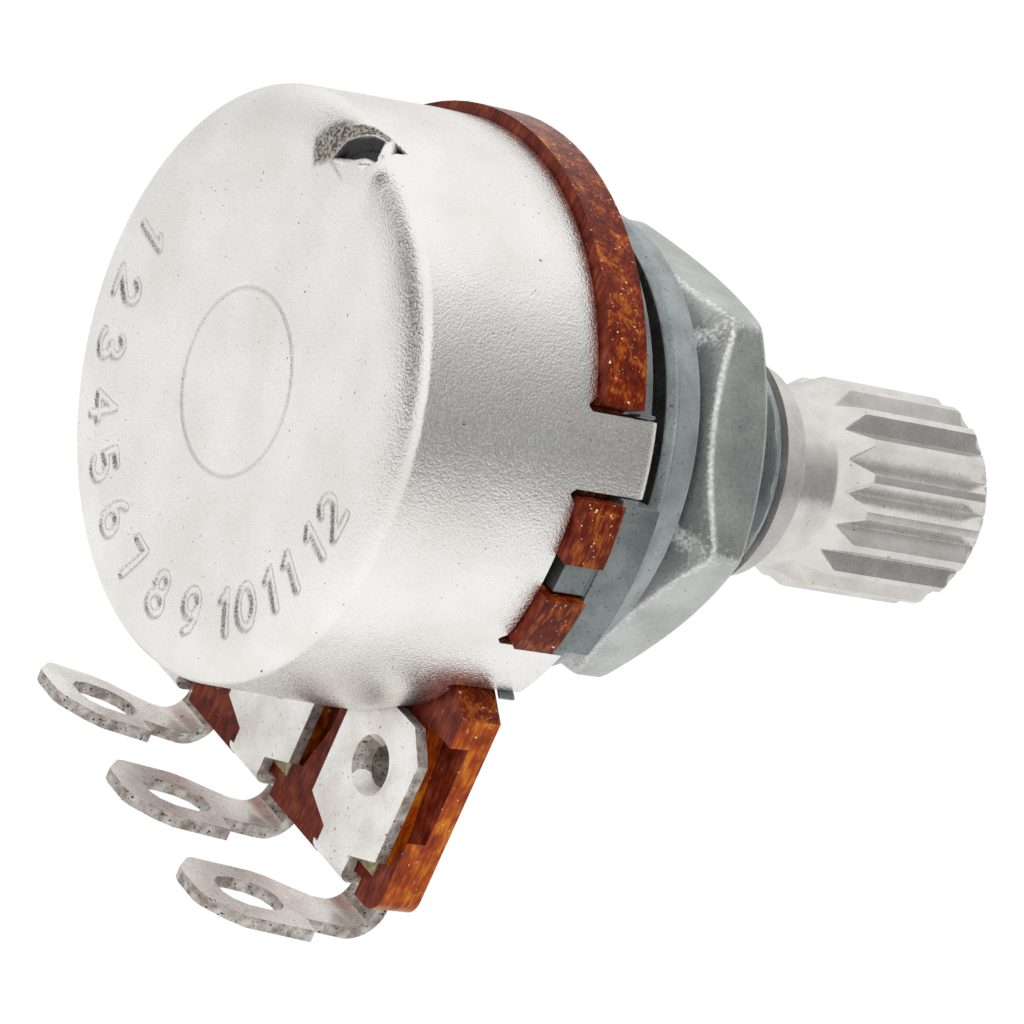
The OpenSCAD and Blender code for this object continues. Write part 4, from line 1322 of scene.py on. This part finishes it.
@dataclass
class HexNut:
    """The hex nut: six sides, chamfered at both ends by a 30-degree cone, with countersunk bore.

    Fields, in millimetres: width across flats, diameter of the round face, bore radius, countersink, the power that
    rounds the corners between sides, half the angle in degrees over which a corner is worn and carries a painted
    highlight, the rounding of its edges and the width of the painted highlight line along the rear edge, and the
    number of columns.
    """

    across_flats: float = 11.0
    face_d: float = 10.3
    bore_r: float = 3.53
    sink: float = 0.25
    corner_power: float = 70.0
    corner_wear: float = 4.5
    edge_round: float = 0.16
    edge_wear: float = 0.14
    columns: int = 480
    body: Body = Body.HOUSING

    def hexagon(self, phi: np.ndarray) -> np.ndarray:
        """Radius of the hexagon at each angle: a high power mean of the reach of its six sides, so that the
        corners, two of which point to Y and -Y, are slightly round."""
        sides = np.radians(30 + 60 * np.arange(6))
        reach = np.clip(np.cos(phi[:, None] - sides), 1e-3, 1) / (self.across_flats / 2)
        return (reach ** self.corner_power).sum(axis=1) ** (-1 / self.corner_power)

    def build(self) -> None:
        """Builds the nut from its section, which at each angle ends at the hexagon's radius."""
        low, high = node_box("nut")
        phi = np.linspace(0, 2 * math.pi, self.columns, endpoint=False)
        rim = self.hexagon(phi)
        face_r = self.face_d / 2
        drop = np.maximum(rim - face_r, 0.02) * math.tan(math.radians(30))
        flat = np.ones_like(phi)
        rear, front = low[0], high[0]
        corners = [(rear + self.sink, self.bore_r), (rear, self.bore_r + self.sink), (rear, face_r),
                   (rear + drop, rim), (front - drop, rim), (front, face_r), (front, self.bore_r + self.sink),
                   (front - self.sink, self.bore_r)]
        outline = np.stack([np.stack([x * flat, r * flat], axis=-1) for x, r in corners])
        outline = soften(outline, self.edge_round, 4)
        # wear with a painted highlight on the corners, paler towards both faces, and a painted highlight line along
        # the rear edge
        away = np.abs((np.degrees(phi) + 30) % 60 - 30)
        corner = np.exp(-(away / self.corner_wear) ** 2)
        across = np.abs(outline[..., 0] - (rear + front) / 2) / ((front - rear) / 2)
        edge = np.exp(-((outline[..., 0] - rear - drop) / self.edge_wear) ** 2) * (outline[..., 1] > face_r - 0.1)
        worn = np.maximum(0.75 * corner * (0.45 + 0.55 * across ** 2), 0.5 * edge)
        worn = np.where(outline[..., 1] > face_r - 0.1, worn, 0)
        piece = turned("hex_nut", outline[..., 0], outline[..., 1], phi, {"worn": worn})
        dress(piece, [NUT_ZINC], self.body, "nut")


@dataclass
class SplinedShaft:
    """The turned shaft: D-shaped tail, clip groove, neck, conical shoulder, and a head with 18 round grooves.

    Fields, in millimetres: radii of neck, head and tail, the tail's flat, the grooves' cutter and its centre,
    and where the head's shoulder starts and ends.
    """

    neck_r: float = 2.5
    head_r: float = 3.0
    tail_r: float = 2.4
    tail_flat: float = 1.75
    tail_end: float = -4.78
    groove_r: float = 2.05
    groove_from: float = -3.22
    groove_to: float = -2.83
    shoulder: float = 8.2
    shoulder_len: float = 0.95
    chamfer: float = 0.33
    splines: int = 18
    cutter_r: float = 0.42
    cutter_centre: float = 3.06
    body: Body = Body.SHAFT

    def groove_edge(self) -> float:
        """Half the angle that a groove takes of the head, in radians."""
        return math.acos((self.head_r ** 2 + self.cutter_centre ** 2 - self.cutter_r ** 2)
                         / (2 * self.head_r * self.cutter_centre))

    def columns(self) -> np.ndarray:
        """Angles in radians: one set for each groove, with columns on both sides of each land's edge."""
        edge = math.degrees(self.groove_edge())
        half = np.array([1.2, 2.4, 3.6, 4.8, 5.8, 6.6, 7.2, edge - 0.25, edge, edge + 0.35])
        cell = np.concatenate([-half[::-1], [0], half, [180 / self.splines]])
        step = 360 / self.splines
        return np.radians((cell[None] + step * np.arange(self.splines)[:, None]).reshape(-1))

    def build(self) -> None:
        """Builds the shaft. Its radius is the lesser of the turned outline and the reach left by the grooves,
        which rises from a groove's bottom to the head's radius with the share of its half width to the power
        1.15, so that a groove starts in a point on the conical shoulder."""
        low, high = node_box("shaft")
        tip = high[0]
        outline = np.array([(low[0], 0.0), (low[0], self.tail_r - 0.2), (low[0] + 0.2, self.tail_r),
                            (self.tail_end, self.tail_r), (self.tail_end, self.neck_r),
                            (self.groove_from, self.neck_r), (self.groove_from, self.groove_r),
                            (self.groove_to, self.groove_r), (self.groove_to, self.neck_r),
                            (self.shoulder, self.neck_r), (self.shoulder + self.shoulder_len, self.head_r),
                            (tip - self.chamfer, self.head_r), (tip, self.head_r - self.chamfer), (tip, 0.0)])
        rows = refine(soften(outline, 0.06, 3), 0.35)
        shoulder = (rows[:, 0] > self.shoulder - 0.1) & (rows[:, 0] < self.shoulder + self.shoulder_len + 0.1)
        first, last = np.flatnonzero(shoulder)[[0, -1]]
        rows = np.concatenate([rows[:first], refine(rows[first:last + 1], 0.035), rows[last + 1:]])
        phi = self.columns()
        x = np.repeat(rows[:, :1], len(phi), axis=1)
        r = np.repeat(rows[:, 1:], len(phi), axis=1)
        step = 2 * math.pi / self.splines
        away = (phi + step / 2) % step - step / 2
        bottom = self.cutter_centre - self.cutter_r
        share = np.abs(away) / self.groove_edge()
        reach = np.where(share <= 1, bottom + (self.head_r - bottom) * share ** 1.15, np.inf)
        r = np.where(x > self.shoulder - 0.2, np.minimum(r, reach), r)
        toward = np.cos(phi + math.pi / 2)
        flat = np.where(toward > 0.3, self.tail_flat / np.maximum(toward, 0.3), np.inf)
        r = np.where(x < self.tail_end, np.minimum(r, flat), r)
        piece = turned("splined_shaft", x, r, phi)
        dress(piece, [SHAFT_METAL], self.body, "shaft")


@dataclass
class InnerWorks:
    """The pieces inside, which keep their solids: clip, washer, carrier and wiper."""

    finishes: dict[str, Finish] = field(default_factory=lambda: {
        "thrust_washer": STRIP_STEEL, "retaining_clip": STRIP_STEEL, "rotor": CARRIER, "wiper": BRONZE})

    def build(self) -> None:
        """Coats each of them."""
        for node, finish in self.finishes.items():
            coat_node(node, finish)


@dataclass
class Studio:
    """Camera, floor, world and lamp.

    Fields: the camera's place in millimetres and its axes, its lens in millimetres on a 36 mm frame, the
    floor's height, the direction of the room's dark strip and of its dim side, and the lamp's place and width in
    metres and its power in watts.
    """

    eye: tuple[float, float, float] = (-82.694, -99.421, 40.967)
    right: tuple[float, float, float] = (0.78525, -0.48324, 0.38712)
    up: tuple[float, float, float] = (-0.12867, 0.48421, 0.86544)
    forward: tuple[float, float, float] = (0.60566, 0.72940, -0.31805)
    lens: float = 176.21
    floor_z: float = -40.0
    dark_side: tuple[float, float, float] = (-0.978, 0.208, 0.0)
    dim_side: tuple[float, float, float] = (0.66, -0.70, 0.20)
    lamp_place: tuple[float, float, float] = (-0.08, -0.10, 0.22)
    lamp_width: float = 0.16
    lamp_power: float = 0.3

    def camera(self) -> None:
        """Sets the camera where the photograph was taken from."""
        data = bpy.data.cameras.new("camera")
        data.lens = self.lens
        data.sensor_width = 36.0
        data.clip_start = 0.005
        data.clip_end = 5.0
        camera = bpy.data.objects.new("camera", data)
        bpy.context.scene.collection.objects.link(camera)
        turn = Matrix((self.right, self.up, tuple(-v for v in self.forward))).transposed()
        camera.matrix_world = Matrix.Translation(Vector(self.eye) * MM) @ turn.to_4x4()
        bpy.context.scene.camera = camera

    def floor(self) -> None:
        """A wide white floor that keeps a faint shadow. To the camera it glows near white."""
        mesh = bpy.data.meshes.new("floor")
        reach = 2.0
        corners = [(-reach, -reach), (reach, -reach), (reach, reach), (-reach, reach)]
        mesh.from_pydata([(x, y, self.floor_z * MM) for x, y in corners], [], [(0, 1, 2, 3)])
        floor = bpy.data.objects.new("floor", mesh)
        bpy.context.scene.collection.objects.link(floor)
        material = bpy.data.materials.new("white_paper_floor")
        material.use_nodes = True
        tree = material.node_tree
        tree.nodes.clear()
        paper = add(tree, "ShaderNodeBsdfDiffuse", {}, {"Color": linear("#EAEAEA")})
        glow = add(tree, "ShaderNodeEmission", {}, {"Color": linear("#FFFFFF"), "Strength": 1.02})
        ray = add(tree, "ShaderNodeLightPath")
        share = add(tree, "ShaderNodeMath", {"operation": "MULTIPLY"}, {0: ray.outputs["Is Camera Ray"], 1: 0.95})
        mix = add(tree, "ShaderNodeMixShader", {}, {0: share.outputs[0], 1: paper.outputs[0], 2: glow.outputs[0]})
        add(tree, "ShaderNodeOutputMaterial", {}, {"Surface": mix.outputs[0]})
        mesh.materials.append(material)

    def lobe(self, tree: bpy.types.NodeTree, way: bpy.types.NodeSocket, centre: tuple[float, float, float],
             stops: list[tuple[float, float]]) -> bpy.types.NodeSocket:
        """Level of a part of the room that is darker than the rest.

        Args:
            tree: the world's node tree.
            way: the direction looked in.
            centre: the direction in which it is darkest.
            stops: pairs of the cosine of the angle from there and the level, in rising order.

        Returns:
            The level, as a colour.
        """
        near = add(tree, "ShaderNodeVectorMath", {"operation": "DOT_PRODUCT"},
                   {0: way, 1: Vector(centre).normalized()}).outputs["Value"]
        return add(tree, "ShaderNodeValToRGB", {"stops": [(place, grey(level)) for place, level in stops]},
                   {"Fac": near}).outputs[0]

    def world(self) -> None:
        """A bright room, white to the camera and a little darker below.

        Metal reflects two more things in it: an upright dark strip behind the can, which makes the grainy band on
        its rear edge, and a dim side to the right of the camera, which greys what faces it.
        """
        world = bpy.data.worlds.new("bright_room")
        bpy.context.scene.world = world
        world.use_nodes = True
        tree = world.node_tree
        tree.nodes.clear()
        way = add(tree, "ShaderNodeTexCoord").outputs["Generated"]
        height = add(tree, "ShaderNodeSeparateXYZ", {}, {"Vector": way}).outputs["Z"]
        room = add(tree, "ShaderNodeValToRGB", {"stops": [(0.0, grey(0.62)), (0.45, grey(0.8)), (0.75, grey(1.0))]},
                   {"Fac": add(tree, "ShaderNodeMapRange", {}, {"Value": height, "From Min": -1.0}).outputs[0]})
        low = add(tree, "ShaderNodeVectorMath", {"operation": "MULTIPLY"}, {0: way, 1: (1.0, 1.0, 0.35)})
        level = add(tree, "ShaderNodeVectorMath", {"operation": "NORMALIZE"}, {0: low.outputs[0]}).outputs[0]
        dark = self.lobe(tree, level, self.dark_side, [(0.87, 1.0), (0.93, 0.06), (1.0, 0.01)])
        above = add(tree, "ShaderNodeMapRange", {"interpolation_type": "SMOOTHSTEP"},
                    {"Value": height, "From Min": 0.2, "From Max": 0.48}).outputs[0]
        dark = add(tree, "ShaderNodeMix", {"data_type": "RGBA"}, {0: above, 6: dark, 7: grey(1.0)})
        tone = add(tree, "ShaderNodeMix", {"data_type": "RGBA", "blend_type": "MULTIPLY"},
                   {0: 1.0, 6: room.outputs[0], 7: dark.outputs[2]}).outputs[2]
        dim = self.lobe(tree, way, self.dim_side, [(0.66, 1.0), (0.86, 0.52), (0.96, 0.3)])
        tone = add(tree, "ShaderNodeMix", {"data_type": "RGBA", "blend_type": "MULTIPLY"},
                   {0: 1.0, 6: tone, 7: dim}).outputs[2]
        ray = add(tree, "ShaderNodeLightPath")
        colour = add(tree, "ShaderNodeMix", {"data_type": "RGBA"},
                     {0: ray.outputs["Is Camera Ray"], 6: tone, 7: grey(1.0)}).outputs[2]
        back = add(tree, "ShaderNodeBackground", {}, {"Color": colour, "Strength": 1.0})
        add(tree, "ShaderNodeOutputWorld", {}, {"Surface": back.outputs[0]})

    def lamp(self) -> None:
        """One soft lamp above and to the left of the camera, which metal doesn't reflect."""
        data = bpy.data.lights.new("soft_box", "AREA")
        data.shape = "DISK"
        data.size = self.lamp_width
        data.energy = self.lamp_power
        lamp = bpy.data.objects.new("soft_box", data)
        bpy.context.scene.collection.objects.link(lamp)
        lamp.visible_glossy = False
        place = Vector(self.lamp_place)
        lamp.matrix_world = Matrix.Translation(place) @ (-place).to_track_quat("-Z", "Y").to_matrix().to_4x4()

    def build(self) -> None:
        """Sets everything up, with the plain Standard view."""
        self.camera()
        self.floor()
        self.world()
        self.lamp()
        bpy.context.scene.view_settings.view_transform = "Standard"


def main() -> None:
    """Builds every sub-assembly in order."""
    logging.basicConfig(level=logging.INFO, format="%(name)s: %(message)s")
    Studio().build()
    CanShell().build()
    Wafer().build()
    for node in ("terminal_left", "terminal_middle", "terminal_right"):
        Terminal(node).build()
    Casting().build()
    HexNut().build()
    SplinedShaft().build()
    InnerWorks().build()


if __name__ == "__main__":
    main()
